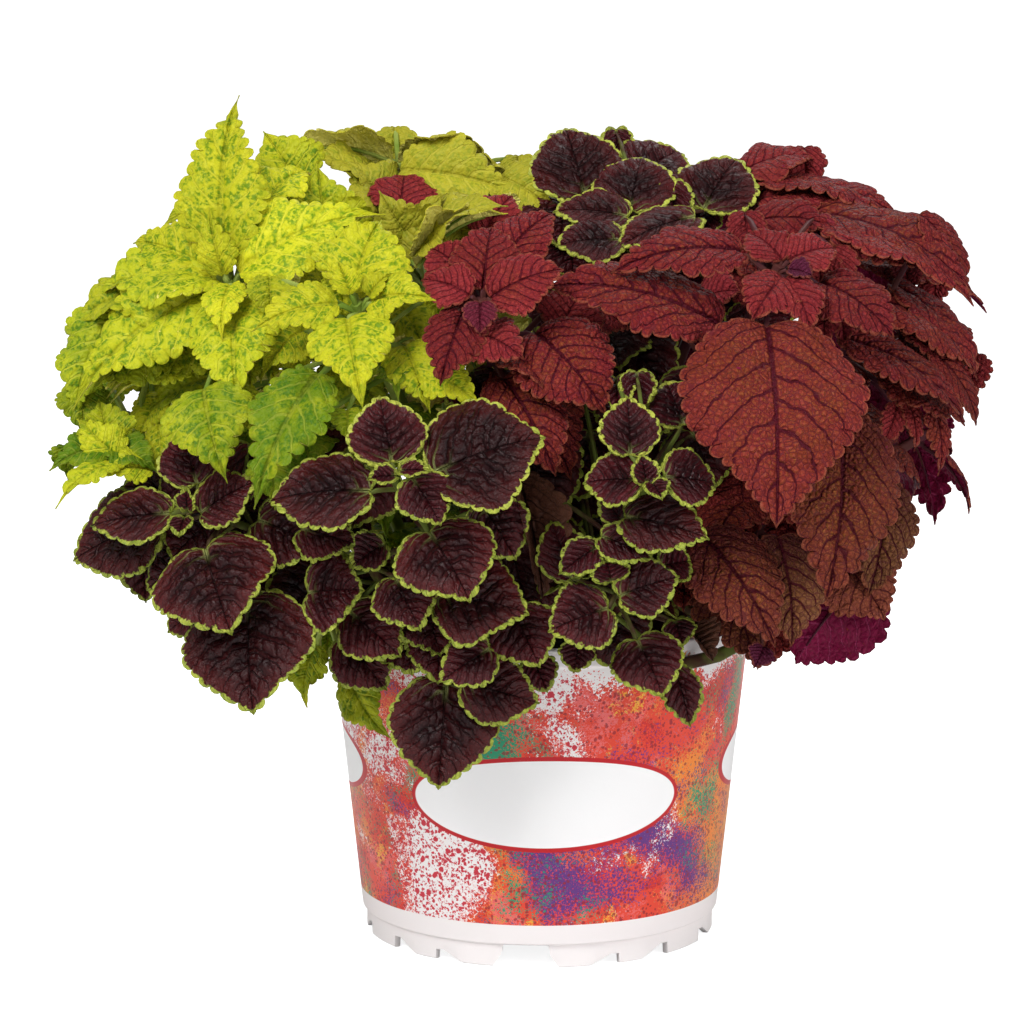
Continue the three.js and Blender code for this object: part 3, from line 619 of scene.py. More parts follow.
def ripple(x, y, chance, wave):
    """Uneven little swells between about -1 and 1."""
    total = 0
    for _ in range(4):
        angle, shift = chance.uniform(0, math.pi), chance.uniform(0, 2 * math.pi)
        size = wave * chance.uniform(0.7, 1.4)
        across = x * math.cos(angle) + y * math.sin(angle)
        total = total + np.sin(2 * math.pi * across / size + shift)
    return total / 2.4


def vein_phase(kind, along, spread, sign):
    """Counts the side veins: whole numbers lie on a vein, from the midrib to the margin."""
    start = along - kind.sweep * spread**1.3 * (1 - 0.5 * along)
    return kind.laterals * start + np.where(sign > 0, 0.0, 0.4)


class Growth:
    """Gathers the blades and stalks of one leafy stem as plain arrays."""

    FIELDS = ("run", "side", "rim", "span", "tone", "shade", "age")

    def __init__(self):
        self.points = []
        self.uv = []
        self.marks = {name: [] for name in self.FIELDS}
        self.faces = []
        self.slots = []
        self.count = 0
        self.paths = []

    def add(self, points, uv, marks, faces, slots):
        """Takes in one blade; its faces count its own points."""
        self.points.append(points)
        self.uv.append(uv)
        for name in self.FIELDS:
            value = marks.get(name, 0)
            self.marks[name].append(np.broadcast_to(value, len(points)))
        self.faces.append(faces + self.count)
        self.slots.append(slots)
        self.count += len(points)


def leaf_frame(leaf, face):
    """Base, length, half width and the leaf's own axes: along, across and out of its face."""
    base, tip = np.array(leaf[:3], float), np.array(leaf[3:6], float)
    length = np.linalg.norm(tip - base)
    along = (tip - base) / length
    normal = np.array(face, float)
    normal = unit(normal - along * normal.dot(along))
    return base, length, leaf[6] / 2, along, np.cross(normal, along), normal


def skin_faces(rows, across):
    """Faces of a grid of points and its copy below, closed round the rim, and their slots."""
    below = rows * across
    number = np.arange(below).reshape(rows, across)
    top = np.stack([number[:-1, :-1], number[1:, :-1], number[1:, 1:], number[:-1, 1:]], -1)
    top = top.reshape(-1, 4)
    under = top[:, ::-1] + below
    loop = np.concatenate([number[0, :], number[1:, -1], number[-1, -2::-1], number[-2:0:-1, 0]])
    after = np.roll(loop, -1)
    wall = np.stack([loop, after, after + below, loop + below], -1)
    slots = np.concatenate([np.zeros(len(top)), np.ones(len(under)), np.zeros(len(wall))])
    return np.concatenate([top, under, wall]), slots


def blade(growth, kind, leaf, face, chance, shade, coarse, tight=0.0, age=0.0):
    """One leaf blade as a closed skin: quilted above, ribbed below, toothed along the margin.

    Returns the middle of the underside, for the stalk to run on as its midrib.
    """
    base, length, half, along_way, across_way, normal = leaf_frame(leaf, face)
    small = coarse or length < SMALL_LEAF
    u, tooth = margin_rows(kind, length, half, chance, small)
    columns = ACROSS_SMALL if small else ACROSS
    v = np.concatenate([-columns[:0:-1], columns])[None, :]
    spread, sign = np.abs(v), np.sign(v)

    # the margin with its teeth and base lobes
    smooth = outline(kind, u)
    ahead = outline(kind, np.clip(u + SLOPE_STEP, 0, 1))
    slope = half * (ahead - outline(kind, np.clip(u - SLOPE_STEP, 0, 1)))
    slope = slope / (2 * SLOPE_STEP * length)
    out_side = 1 / np.hypot(1, slope)
    out_run = -slope * out_side
    size = half / 20
    deep = kind.tooth * min(1.15, 0.35 + length / 75) * (0.8 + 0.4 * chance.random())
    proud = deep * (0.75 + 0.5 * u) * (tooth - TOOTH_MIDDLE) * smoothstep(spread, 0.6, 1)
    least = kind.stalk / 2 * (1 - u) + 0.2
    side = v * np.maximum(half * smooth, least) + sign * proud * out_side
    base_lobe = np.sin(math.pi * np.clip(1.1 * np.abs(side) / half, 0, 1))
    heart = -kind.heart * length * base_lobe * (1 - smoothstep(u, 0.02, 0.34))
    run = u * length + proud * out_run + heart

    # the blade's bend, fold and waves
    twist_left, twist_right, lift = (chance.uniform(0, 2 * math.pi) for _ in range(3))
    waves = chance.uniform(1.6, 2.6)
    inset = np.sin(math.pi * np.clip(u, 0, 1)) ** 0.7
    turn = np.where(sign < 0, twist_left, twist_right)
    rise = 4 * kind.arch * length * u * (1 - u) + kind.fold * (1 + tight) * np.abs(side)
    rise = rise - kind.curl * (1 - tight) * side**2 / half
    rise = rise + kind.ruffle * size * spread**3 * inset * np.sin(2 * math.pi * waves * u + turn)
    rise = rise + 0.02 * length * np.sin(2 * math.pi * u + lift) * inset * v

    # quilting above, ribs below
    phase = vein_phase(kind, u, spread, sign)
    between = np.abs(np.sin(math.pi * phase)) ** 0.6
    swells = ripple(run, side, chance, kind.pucker)
    middle_part = smoothstep(spread, 0.02, 0.2) * (1 - 0.7 * smoothstep(spread, 0.8, 1))
    middle_part = middle_part * smoothstep(u, 0.0, 0.1) * (1 - smoothstep(u, 0.85, 0.98))
    pillow = kind.pillow * min(size, 1.3) * (between + 0.6 * swells) * middle_part
    groove = 0.5 * np.exp(-((side / 0.8) ** 2)) * (1 - 0.6 * u)
    upper = rise + pillow - groove
    rib = 0.55 * np.exp(-((side / 0.8) ** 2)) * (1 - 0.7 * u)
    rib = rib + 0.3 * (1 - between) * middle_part * min(size, 1)
    thick = BLADE_THICK + (MARGIN_THICK - BLADE_THICK) * smoothstep(spread, 0.75, 1)
    lower = upper + groove - thick - rib

    def place(height):
        flat = (base + run[..., None] * along_way + side[..., None] * across_way
                + height[..., None] * normal)
        return flat.reshape(-1, 3)

    # what the finishes read from the points
    to_margin = (1 - spread) * half * smooth * out_side - proud * kind.beads
    to_margin = np.minimum(to_margin, (1 - u) * length * 0.7)
    uv = np.stack(np.broadcast_arrays(u, v / 2 + 0.5), -1).reshape(-1, 2)
    marks = {"run": run, "side": side, "rim": to_margin}
    marks = {name: np.tile(np.broadcast_to(value, side.shape).ravel(), 2)
             for name, value in marks.items()}
    marks.update(span=length, tone=chance.random(), shade=shade, age=age)
    points = np.concatenate([place(upper), place(lower)])
    growth.add(points, np.tile(uv, (2, 1)), marks, *skin_faces(*side.shape))

    midrib = lower[:, side.shape[1] // 2]
    height = [float(np.interp(s, u[:, 0], midrib)) for s in SPINE]
    sunk = RIB_SUNK * kind.stalk
    return [base + s * length * along_way + (h - sunk * (1 - s)) * normal
            for s, h in zip(SPINE, height)]


def bezier(stem, share):
    """A point of the stem: it sets out upright from its hole and leans over to its tip."""
    foot = np.array([*stem.foot, STEM_FOOT], float)
    above = np.array([*stem.foot, stem.rise], float)
    lean, top = np.array(stem.lean, float), np.array(stem.top, float)
    rest = 1 - share
    return (rest**3 * foot + 3 * rest**2 * share * above
            + 3 * rest * share**2 * lean + share**3 * top)


def stalk_root(stem, base):
    """Where on the stem a leaf's stalk grows: a little below the nearest point."""
    shares = [k / 40 for k in range(41)]
    nearest = min(shares, key=lambda share: np.linalg.norm(bezier(stem, share) - base))
    return bezier(stem, max(STALK_LOWEST, nearest - STALK_BELOW))


def crossed_pairs(stem):
    """The leaves of a rear stem, each pair a quarter turn from the last."""
    out = unit(np.array(stem.face, float))
    level = unit(np.cross([0, 0, 1], out))
    rising = np.cross(out, level)
    rows = []
    sets = [*PAIRS[stem.kind][: stem.pairs], TIP_PAIR[stem.kind]]
    for k, (length, width, droop, down) in enumerate(sets):
        quarters = TIP_QUARTERS if k == len(sets) - 1 else k
        for half_turn in (0, 180):
            angle = math.radians(stem.turn + 90 * quarters + half_turn)
            tilt = math.radians(droop)
            way = math.cos(tilt) * (math.cos(angle) * level + math.sin(angle) * rising)
            way = way - math.sin(tilt) * out
            base = np.array(stem.top, float) - down * out + (PAIR_OUT * length + 1) * way
            rows.append((*base, *(base + length * way), width))
    return rows


def inner_count(stem):
    """How many inner pairs a stem has: the more, the taller it is."""
    height = stem.top[2]
    if height > 225:
        return 5
    if height > 210 or stem.pairs:
        return 4
    return 3 if height > 195 else 0


def inner_leaves(stem, chance):
    """Leaves lower down a tall stem, which fill the bush between the outer ones."""
    rows = []
    for share, length, droop in INNER_PAIRS[: inner_count(stem)]:
        place = bezier(stem, share)
        heading = math.atan2(place[1], place[0])
        for side in (-1, 1):
            angle = heading + side * math.radians(chance.uniform(*INNER_TURN))
            tilt = math.radians(droop + chance.uniform(-INNER_SCATTER, INNER_SCATTER))
            way = np.array([math.cos(angle) * math.cos(tilt), math.sin(angle) * math.cos(tilt),
                            -math.sin(tilt)])
            long = length * chance.uniform(*INNER_LONG)
            base = place + way * INNER_OUT
            rows.append((*base, *(base + long * way), long * INNER_WIDTH[stem.kind]))
    return rows


def grow(name, stem):
    """All blades and stalk paths of one leafy stem."""
    chance = random.Random(name)
    kind = KINDS[stem.kind]
    growth = Growth()
    steps = [bezier(stem, share) for share in np.linspace(0, 1, STEM_STEPS)]
    growth.paths.append((steps, [kind.stem * (1 - STEM_TAPER * k / (STEM_STEPS - 1))
                                 for k in range(STEM_STEPS)]))

    for shoot in BARE_SHOOTS.get(name, []):
        growth.paths.append(([point[:3] for point in shoot], [point[3] for point in shoot]))

    rows = [(leaf, stem.face, "outer") for leaf in stem.leaves or crossed_pairs(stem)]
    rows += [(leaf, stem.face, "bud") for leaf in stem.buds]
    rows += [(leaf[:7], leaf[7:] or AHEAD, "behind") for leaf in BEHIND.get(name, [])]
    rows += [(leaf, (leaf[3] - leaf[0], leaf[4] - leaf[1], INNER_UPWARD), "inner")
             for leaf in inner_leaves(stem, chance)]
    rows += [(leaf[:7], leaf[7:], "dry") for leaf in DRY_LEAVES.get(name, [])]
    for number, (leaf, face, place) in enumerate(rows):
        length = np.linalg.norm(np.subtract(leaf[3:6], leaf[:3]))
        low = float(smoothstep(LIT_ABOVE - leaf[5], 0, DIM_OVER))
        if place in ("outer", "bud"):
            shade = min(low, OPEN_STEMS.get(name, 1.0))
        else:
            shade = 1.0 if place == "inner" else min(1.0, low + DEEPER_SHADE)
        tight = FOLD_TIGHT * float(1 - smoothstep(length, FOLDED_TO, OPEN_FROM))
        # How far the leaf has browned; on red leaves the same value also sets the painted shadow
        # over its base.
        age = BROWNED_AND_SHADOWED_LEAVES.get(name, {}).get(number, STEM_AGE.get(name, 0.0))
        if place == "dry":
            tight, age = DRY_TIGHT, 1.0
        coarse = place in ("behind", "inner")
        rib = blade(growth, kind, leaf, face, chance, shade, coarse, tight, age)
        base = np.array(leaf[:3], float)
        root = stalk_root(stem, base)
        reach = np.linalg.norm(base - root)
        normal = leaf_frame(leaf, face)[5]
        stalk = [root]
        bow = STALK_BOW if reach > BEND_FROM else SHORT_BOW
        for share in STALK_SHARES:
            lift = 4 * bow * reach * share * (1 - share)
            stalk.append(root + share * (base - root) + lift * normal)
        thick = kind.stalk * min(1, 0.5 + length / 60)
        sizes = [thick * STALK_FOOT] + [thick] * len(STALK_SHARES)
        sizes += [thick * (RIB_START - RIB_LOSS * k) for k in range(len(rib))]
        growth.paths.append((stalk + rib, sizes))
    return growth


def mesh_from_growth(name, growth, materials):
    """A mesh of the blades, with the stalks as loose edges that carry their thickness."""
    points = np.concatenate(growth.points)
    faces = np.concatenate(growth.faces)
    slots = np.concatenate(growth.slots)
    spots, edges, thick = [], [], [np.zeros(len(points))]
    count = len(points)
    for path, sizes in growth.paths:
        edges += [(count + k, count + k + 1) for k in range(len(path) - 1)]
        spots += path
        thick.append(np.array(sizes) * MM)
        count += len(path)
    everything = np.concatenate([points, np.array(spots)]) * MM
    mesh = bpy.data.meshes.new(name)
    mesh.from_pydata(everything.tolist(), edges, faces.astype(int).tolist())
    mesh.polygons.foreach_set("material_index", slots.astype(np.int32))
    for material in materials:
        mesh.materials.append(material)
    extra = len(spots)
    for label in Growth.FIELDS:
        values = np.concatenate([*growth.marks[label], np.zeros(extra)])
        layer = mesh.attributes.new(label, "FLOAT", "POINT")
        layer.data.foreach_set("value", values.astype(np.float32))
    layer = mesh.attributes.new("thick", "FLOAT", "POINT")
    layer.data.foreach_set("value", np.concatenate(thick).astype(np.float32))
    corners = np.empty(len(mesh.loops), np.int32)
    mesh.loops.foreach_get("vertex_index", corners)
    uv = np.concatenate(growth.uv)[corners]
    mesh.uv_layers.new(name="blade").data.foreach_set("uv", uv.astype(np.float32).ravel())
    mesh.update()
    return mesh


# ---- building blocks for node trees ----


class Value:
    """A node's output that takes the usual signs of arithmetic."""

    def __init__(self, socket):
        self.socket, self.tree = socket, socket.id_data

    def math(self, operation, *others):
        """The result of one Math node that has this value first."""
        return math_node(self.tree, operation, self, *others)

    def step(self, low, high, start=0.0, end=1.0):
        """A soft step, from start below low to end above high."""
        inputs = {"Value": self, "From Min": low, "From Max": high, "To Min": start, "To Max": end}
        node = add(self.tree, "ShaderNodeMapRange", inputs, interpolation_type="SMOOTHSTEP")
        return Value(node.outputs[0])

    def __add__(self, other):
        return self.math("ADD", other)

    def __sub__(self, other):
        return self.math("SUBTRACT", other)

    def __rsub__(self, other):
        return math_node(self.tree, "SUBTRACT", other, self)

    def __mul__(self, other):
        return self.math("MULTIPLY", other)

    def __truediv__(self, other):
        return self.math("DIVIDE", other)

    def __rtruediv__(self, other):
        return math_node(self.tree, "DIVIDE", other, self)

    def __pow__(self, other):
        return self.math("POWER", other)

    def __abs__(self):
        return self.math("ABSOLUTE")

    def __lt__(self, other):
        return self.math("LESS_THAN", other)

    def __gt__(self, other):
        return self.math("GREATER_THAN", other)


def put(node, inputs):
    """Links or sets a node's inputs."""
    for key, value in inputs.items():
        value = value.socket if isinstance(value, Value) else value
        if isinstance(value, bpy.types.NodeSocket):
            node.id_data.links.new(value, node.inputs[key])
        else:
            node.inputs[key].default_value = value


def add(tree, kind, inputs=None, **settings):
    """Adds a node, applies its settings, then links or sets its inputs."""
    node = tree.nodes.new(kind)
    for name, value in settings.items():
        setattr(node, name, value)
    put(node, inputs or {})
    return node


def math_node(tree, operation, *values):
    """The result of one Math node."""
    node = add(tree, "ShaderNodeMath", dict(enumerate(values)), operation=operation)
    return Value(node.outputs[0])


def strongest(first, *others):
    """The greatest of several masks."""
    for value in others:
        first = first.math("MAXIMUM", value)
    return first


def mix(tree, factor, first, second):
    """One colour mixed over another."""
    made = add(tree, "ShaderNodeMix", {0: factor, 6: first, 7: second}, data_type="RGBA")
    return made.outputs[2]


def layered(tree, ground, *layers):
    """A ground colour with others laid over it in turn, each given as its mask and colour."""
    for mask, colour in layers:
        ground = mix(tree, mask, ground, colour)
    return ground


def noise(tree, place, scale, detail=2.0, roughness=0.5, distortion=0.0, seed=None):
    """Soft noise between about 0.3 and 0.7 at a place; a seed moves it elsewhere."""
    inputs = {"Vector": place, "Scale": scale, "Detail": detail, "Roughness": roughness,
              "Distortion": distortion}
    dimensions = "3D"
    if seed is not None:
        inputs["W"], dimensions = seed, "4D"
    made = add(tree, "ShaderNodeTexNoise", inputs, noise_dimensions=dimensions)
    return Value(made.outputs["Fac"])


def object_place(tree):
    """Where a point lies in the object's own space."""
    return add(tree, "ShaderNodeTexCoord").outputs["Object"]


def axes(tree, vector):
    """The three numbers of a vector."""
    return [Value(part) for part in add(tree, "ShaderNodeSeparateXYZ", {0: vector}).outputs]


def mark(tree, name):
    """A value stored on the blades' points."""
    return Value(add(tree, "ShaderNodeAttribute", attribute_name=name).outputs["Fac"])


def bump(height, strength, distance):
    """Normals of a surface with this height."""
    inputs = {"Strength": strength, "Distance": distance, "Height": height}
    return add(height.tree, "ShaderNodeBump", inputs).outputs[0]


def new_group(name, inputs, outputs, kind="NodeSocketFloat"):
    """An empty shader node group with named inputs and outputs; returns it with both ends."""
    tree = bpy.data.node_groups.new(name, "ShaderNodeTree")
    for label, value in inputs.items():
        socket = tree.interface.new_socket(label, in_out="INPUT", socket_type="NodeSocketFloat")
        socket.default_value = value
    for label in outputs:
        tree.interface.new_socket(label, in_out="OUTPUT", socket_type=kind)
    start = tree.nodes.new("NodeGroupInput").outputs
    start = {label: Value(start[label]) for label in inputs}
    return tree, start, tree.nodes.new("NodeGroupOutput")


def use(tree, group, inputs=None):
    """Places a node group with its own values and returns its outputs by name."""
    placed = add(tree, "ShaderNodeGroup", inputs, node_tree=bpy.data.node_groups[group])
    return {part.name: Value(part) for part in placed.outputs}


def geometry_tree(name, inputs):
    """An empty Geometry Nodes tree with its geometry and other named inputs, and both ends."""
    tree = bpy.data.node_groups.new(name, "GeometryNodeTree")
    for label, kind in {"Geometry": "Geometry", **inputs}.items():
        tree.interface.new_socket(label, in_out="INPUT", socket_type="NodeSocket" + kind)
    tree.interface.new_socket("Geometry", in_out="OUTPUT", socket_type="NodeSocketGeometry")
    return tree, tree.nodes.new("NodeGroupInput").outputs, tree.nodes.new("NodeGroupOutput")


def tint(code):
    """A scene colour from its usual hex code."""
    parts = [int(code[k : k + 2], 16) / 255 for k in (0, 2, 4)]
    linear = [p / 12.92 if p <= 0.04045 else ((p + 0.055) / 1.055) ** 2.4 for p in parts]
    return (*linear, 1.0)


def blank_material(name):
    """A new material with only its Principled BSDF; returns it with its tree and shader."""
    material = bpy.data.materials.new(name)
    material.use_nodes = True
    return material, material.node_tree, material.node_tree.nodes["Principled BSDF"]


def coat(shader, colour, roughness, normal, gloss=0.5):
    """Sets what a plain surface needs; gloss is the shader's specular level."""
    put(shader, {"Base Color": colour, "Roughness": roughness, "Normal": normal,
                 "Specular IOR Level": gloss})


# ---- effects that several finishes share ----


def build_blade_place():
    """Where a point lies on its leaf, in millimetres, with each leaf in its own part of space."""
    tree, _, end = new_group("Blade place", {}, ("Place",), "NodeSocketVector")
    parts = {"X": mark(tree, "run"), "Y": mark(tree, "side"), "Z": mark(tree, "tone") * 400.0}
    put(end, {"Place": add(tree, "ShaderNodeCombineXYZ", parts).outputs[0]})


def build_leaf_veins():
    """Midrib, side veins and the fine net of a leaf as masks, with the swelling of its cells."""
    tree, start, end = new_group(
        "Leaf veins",
        {"Side Veins": 8.0, "Sweep": 0.2, "Vein Width": 1.0, "Net Size": 2.5, "Net Width": 0.3,
         "Quilt Size": 5.0},
        ("Midrib", "Side Veins", "Net", "Cell", "Base", "Quilt"),
    )
    along, across, _ = axes(tree, add(tree, "ShaderNodeUVMap", uv_map="blade").outputs[0])
    across = across * 2.0 - 1.0
    spread = abs(across)
    place = use(tree, "Blade place")["Place"]
    span, off_midrib = mark(tree, "span"), abs(mark(tree, "side"))

    swept = start["Sweep"] * spread**1.3 * (1.0 - along * 0.5)
    phase = (along - swept) * start["Side Veins"] + (across < 0.0) * 0.4
    phase = phase + (noise(tree, place, 0.16, 1.0) * 0.6 - 0.3)
    off_vein = abs(phase - phase.math("ROUND")) * span / start["Side Veins"]
    width = span.step(10.0, 80.0, 0.35, 1.0) * start["Vein Width"]
    side = (off_vein / ((1.05 - spread * 0.7) * width)).step(0.3, 1.0, 1.0, 0.0)
    midrib = (off_midrib / ((1.4 - along) * width)).step(0.35, 1.0, 1.0, 0.0)

    def cells(size):
        """How far a point lies from the edge of its cell."""
        made = add(tree, "ShaderNodeTexVoronoi", {"Vector": place, "Scale": 1.0 / size},
                   feature="DISTANCE_TO_EDGE")
        return Value(made.outputs["Distance"]) * size

    large = cells(start["Net Size"])
    net = (large / start["Net Width"]).step(0.3, 1.0, 1.0, 0.0)
    fine_net = (cells(start["Net Size"] * 0.42) / start["Net Width"]).step(0.1, 0.7, 0.5, 0.0)

    def hump(value):
        """A row of rounded humps, one for each whole number."""
        return abs((value * math.pi).math("SINE")) ** 0.6

    quilt_size = span.step(8.0, 90.0, 0.35, 1.0) * start["Quilt Size"]
    swirl = noise(tree, place, 0.22, 2.0)
    rung = off_midrib / quilt_size + phase.math("FLOOR") * 0.37 + swirl * 1.8
    quilt = (hump(rung) * 0.55 + 0.45) * hump(swirl * 0.6 + phase)
    put(end, {"Midrib": midrib, "Side Veins": side, "Net": strongest(net, fine_net),
              "Cell": (large / start["Net Size"]).step(0.0, 0.4),
              "Base": along.step(0.0, 0.26, 1.0, 0.0), "Quilt": quilt})


def build_leaf_blotches():
    """Irregular patches on a leaf, some of them run together."""
    tree, start, end = new_group(
        "Leaf blotches", {"Size": 4.0, "Amount": 0.5, "Softness": 0.05, "Twist": 0.4}, ("Mask",)
    )
    place = use(tree, "Blade place")["Place"]
    patches = noise(tree, place, 1.0 / start["Size"], 3.0, 0.55, start["Twist"])
    bar = 1.0 - start["Amount"]
    put(end, {"Mask": patches.step(bar - start["Softness"], bar + start["Softness"])})


def build_leaf_margin():
    """A band of uneven width along a leaf's margin."""
    tree, start, end = new_group("Leaf margin", {"Width": 2.0, "Wander": 0.6}, ("Mask",))
    wander = noise(tree, use(tree, "Blade place")["Place"], 0.55, 2.0) * 4.0 - 2.0
    reach = wander * start["Wander"] + mark(tree, "rim")
    put(end, {"Mask": (reach / start["Width"]).step(0.7, 1.2, 1.0, 0.0)})


def build_fine_grain():
    """A fine even grain in the object's own space, for bump and slight colour change."""
    tree, start, end = new_group("Fine grain", {"Size": 1.0, "Detail": 3.0}, ("Grain",))
    grains = noise(tree, object_place(tree), METRE / start["Size"], start["Detail"])
    put(end, {"Grain": grains})


def leaf_veins(tree, kind, vein_width, net_size, net_width, quilt_size=5.0):
    """The veins of one kind of leaf as masks; sizes in millimetres."""
    values = {"Side Veins": KINDS[kind].laterals, "Sweep": KINDS[kind].sweep,
              "Vein Width": vein_width, "Net Size": net_size, "Net Width": net_width,
              "Quilt Size": quilt_size}
    return use(tree, "Leaf veins", values)


def blotches(tree, size, amount, softness, twist=0.4):
    """Patches of about this size in millimetres, as a mask."""
    values = {"Size": size, "Amount": amount, "Softness": softness, "Twist": twist}
    return use(tree, "Leaf blotches", values)["Mask"]


def margin_band(tree, width, wander):
    """A band along the margin, as a mask; both in millimetres."""
    return use(tree, "Leaf margin", {"Width": width, "Wander": wander})["Mask"]


def grain(tree, size, detail=3.0):
    """Grain of about this size in millimetres."""
    return use(tree, "Fine grain", {"Size": size, "Detail": detail})["Grain"]


# ---- leaf finishes ----

LEAF_GLOSS = 0.1


def leaf_relief(tree, veins, amount, depth=0.6, quilt=1.0, cell=1.0, inland=None):
    """Normals of swollen cells between sunken veins; depth and inland are in millimetres.

    Where inland is given, the quilting is full only from there on, counted from the margin.
    """
    if inland:
        quilt = mark(tree, "rim").step(1.0, inland, 0.3 * quilt, quilt)
    height = grain(tree, 0.7) * 0.3 + veins["Cell"] * cell + veins["Quilt"] * quilt
    height = height - veins["Side Veins"] * 0.8 - veins["Midrib"] * 0.8
    return bump(height, amount, depth * MM)


def leaf_to_leaf(tree, colour, least=0.86, most=1.12):
    """A little lighter on one leaf, a little darker on the next."""
    value = mark(tree, "tone") * (most - least) + least
    return add(tree, "ShaderNodeHueSaturation", {"Color": colour, "Value": value}).outputs[0]


def lime_blade(looks):
    """Bright yellow-green above, mottled green between yellow veins; leaves low or deep in the
    bush get painted shade, greener and darker, and old leaves are duller.
    """
    material, tree, shader = blank_material("lime_blade")
    veins = leaf_veins(tree, "lime", 1.5, 2.4, 0.3)
    shade, age = mark(tree, "shade"), mark(tree, "age")
    in_shade = shade.step(0.05, 0.5)
    fine = blotches(tree, 1.5, 0.51, 0.1, 0.0)
    mottle = blotches(tree, 4.4, 0.52, 0.08) * (fine * 0.8 + 0.2) * (1.0 - veins["Side Veins"])
    mottle = mottle * (0.85 - margin_band(tree, 2.6, 1.0) * 0.5) * (1.0 - age * 0.7)
    lines = strongest(veins["Midrib"], veins["Side Veins"], veins["Net"] * 0.25)
    colour = layered(
        tree, looks.blade,
        (blotches(tree, 14.0, 0.5, 0.2) * 0.5, looks.mid),
        (fine * 0.35, looks.mid),
        # painted shade: by its shade value a leaf low or deep in the bush turns greener and
        # darker, the deepest ones darker still, its mottle darker and its veins a little stronger
        (shade * (blotches(tree, 9.0, 0.55, 0.12) * 0.45 + 0.5), looks.old),
        (shade.step(0.8, 1.0, 0.0, 0.3), looks.deep),
        (age * 0.8, looks.dull),
        (mottle, mix(tree, in_shade, looks.mottle, looks.deep)),
        (lines * (in_shade * 0.04 + 0.1), looks.vein),
    )
    relief = leaf_relief(tree, veins, 0.55, 0.9, 0.9, 0.5)
    coat(shader, leaf_to_leaf(tree, colour), 0.45, relief, LEAF_GLOSS)
    return material


def lime_underside(looks):
    """Paler, duller and strongly ribbed below."""
    material, tree, shader = blank_material("lime_underside")
    veins = leaf_veins(tree, "lime", 0.9, 2.2, 0.35)
    lines = strongest(veins["Midrib"], veins["Side Veins"], veins["Net"] * 0.5)
    # the underside colour is partly painted light, made brighter to stand in for light shining
    # through the leaf
    colour = layered(tree, looks.under, (blotches(tree, 7.0, 0.5, 0.15) * 0.3, looks.mid),
                     (lines * 0.8, looks.vein))
    coat(shader, leaf_to_leaf(tree, colour), 0.6, leaf_relief(tree, veins, 0.8), LEAF_GLOSS)
    return material


def dark_blade(looks, name="dark_blade", under=False):
    """Burgundy with darker veins, an uneven lime margin and pale streaks from the leaf's base."""
    material, tree, shader = blank_material(name)
    veins = leaf_veins(tree, "dark", 0.7, 2.4, 0.3, 8.0)
    rim = mark(tree, "rim")
    net = strongest(veins["Midrib"], veins["Side Veins"], veins["Net"] * 0.5)
    rays = leaf_veins(tree, "dark", 1.8, 2.8, 0.3)
    rays = strongest(rays["Midrib"], rays["Side Veins"]) * veins["Base"] ** 1.6
    colour = layered(
        tree, looks.under if under else looks.blade,
        (mark(tree, "span").step(12.0, 36.0, 0.8, 0.0), looks.young),
        (blotches(tree, 9.0, 0.5, 0.2) * 0.3 + rim.step(1.5, 12.0, 0.1, 0.68), looks.old),
        (net * 0.7, looks.vein),
        # Troughs of the quilting take the dark vein colour: sunken veins, partly painted shade in
        # the creases.
        (veins["Quilt"].step(0.05, 0.6, 0.6, 0.0) * rim.step(1.0, 12.0), looks.vein),
        (rays * 0.85, looks.mottle),
    )
    # The lime margin: flecks of a second green, plus painted shade that dims it on leaves with a
    # high shade value.
    flecks = mark(tree, "shade") * 0.35 + blotches(tree, 1.6, 0.5, 0.2) * 0.5
    edge = mix(tree, flecks, looks.margin, looks.margin_fleck_and_shade)
    dry = mix(tree, net * 0.6, looks.dry, looks.vein)
    colour = layered(tree, leaf_to_leaf(tree, colour, 0.8, 1.2),
                     (margin_band(tree, looks.margin_width / MM, 0.9), edge),
                     (mark(tree, "age"), dry))
    coat(shader, colour, 0.3, leaf_relief(tree, veins, 1.0, 1.6, 1.5, 0.1, 12.0), 0.22)
    return material


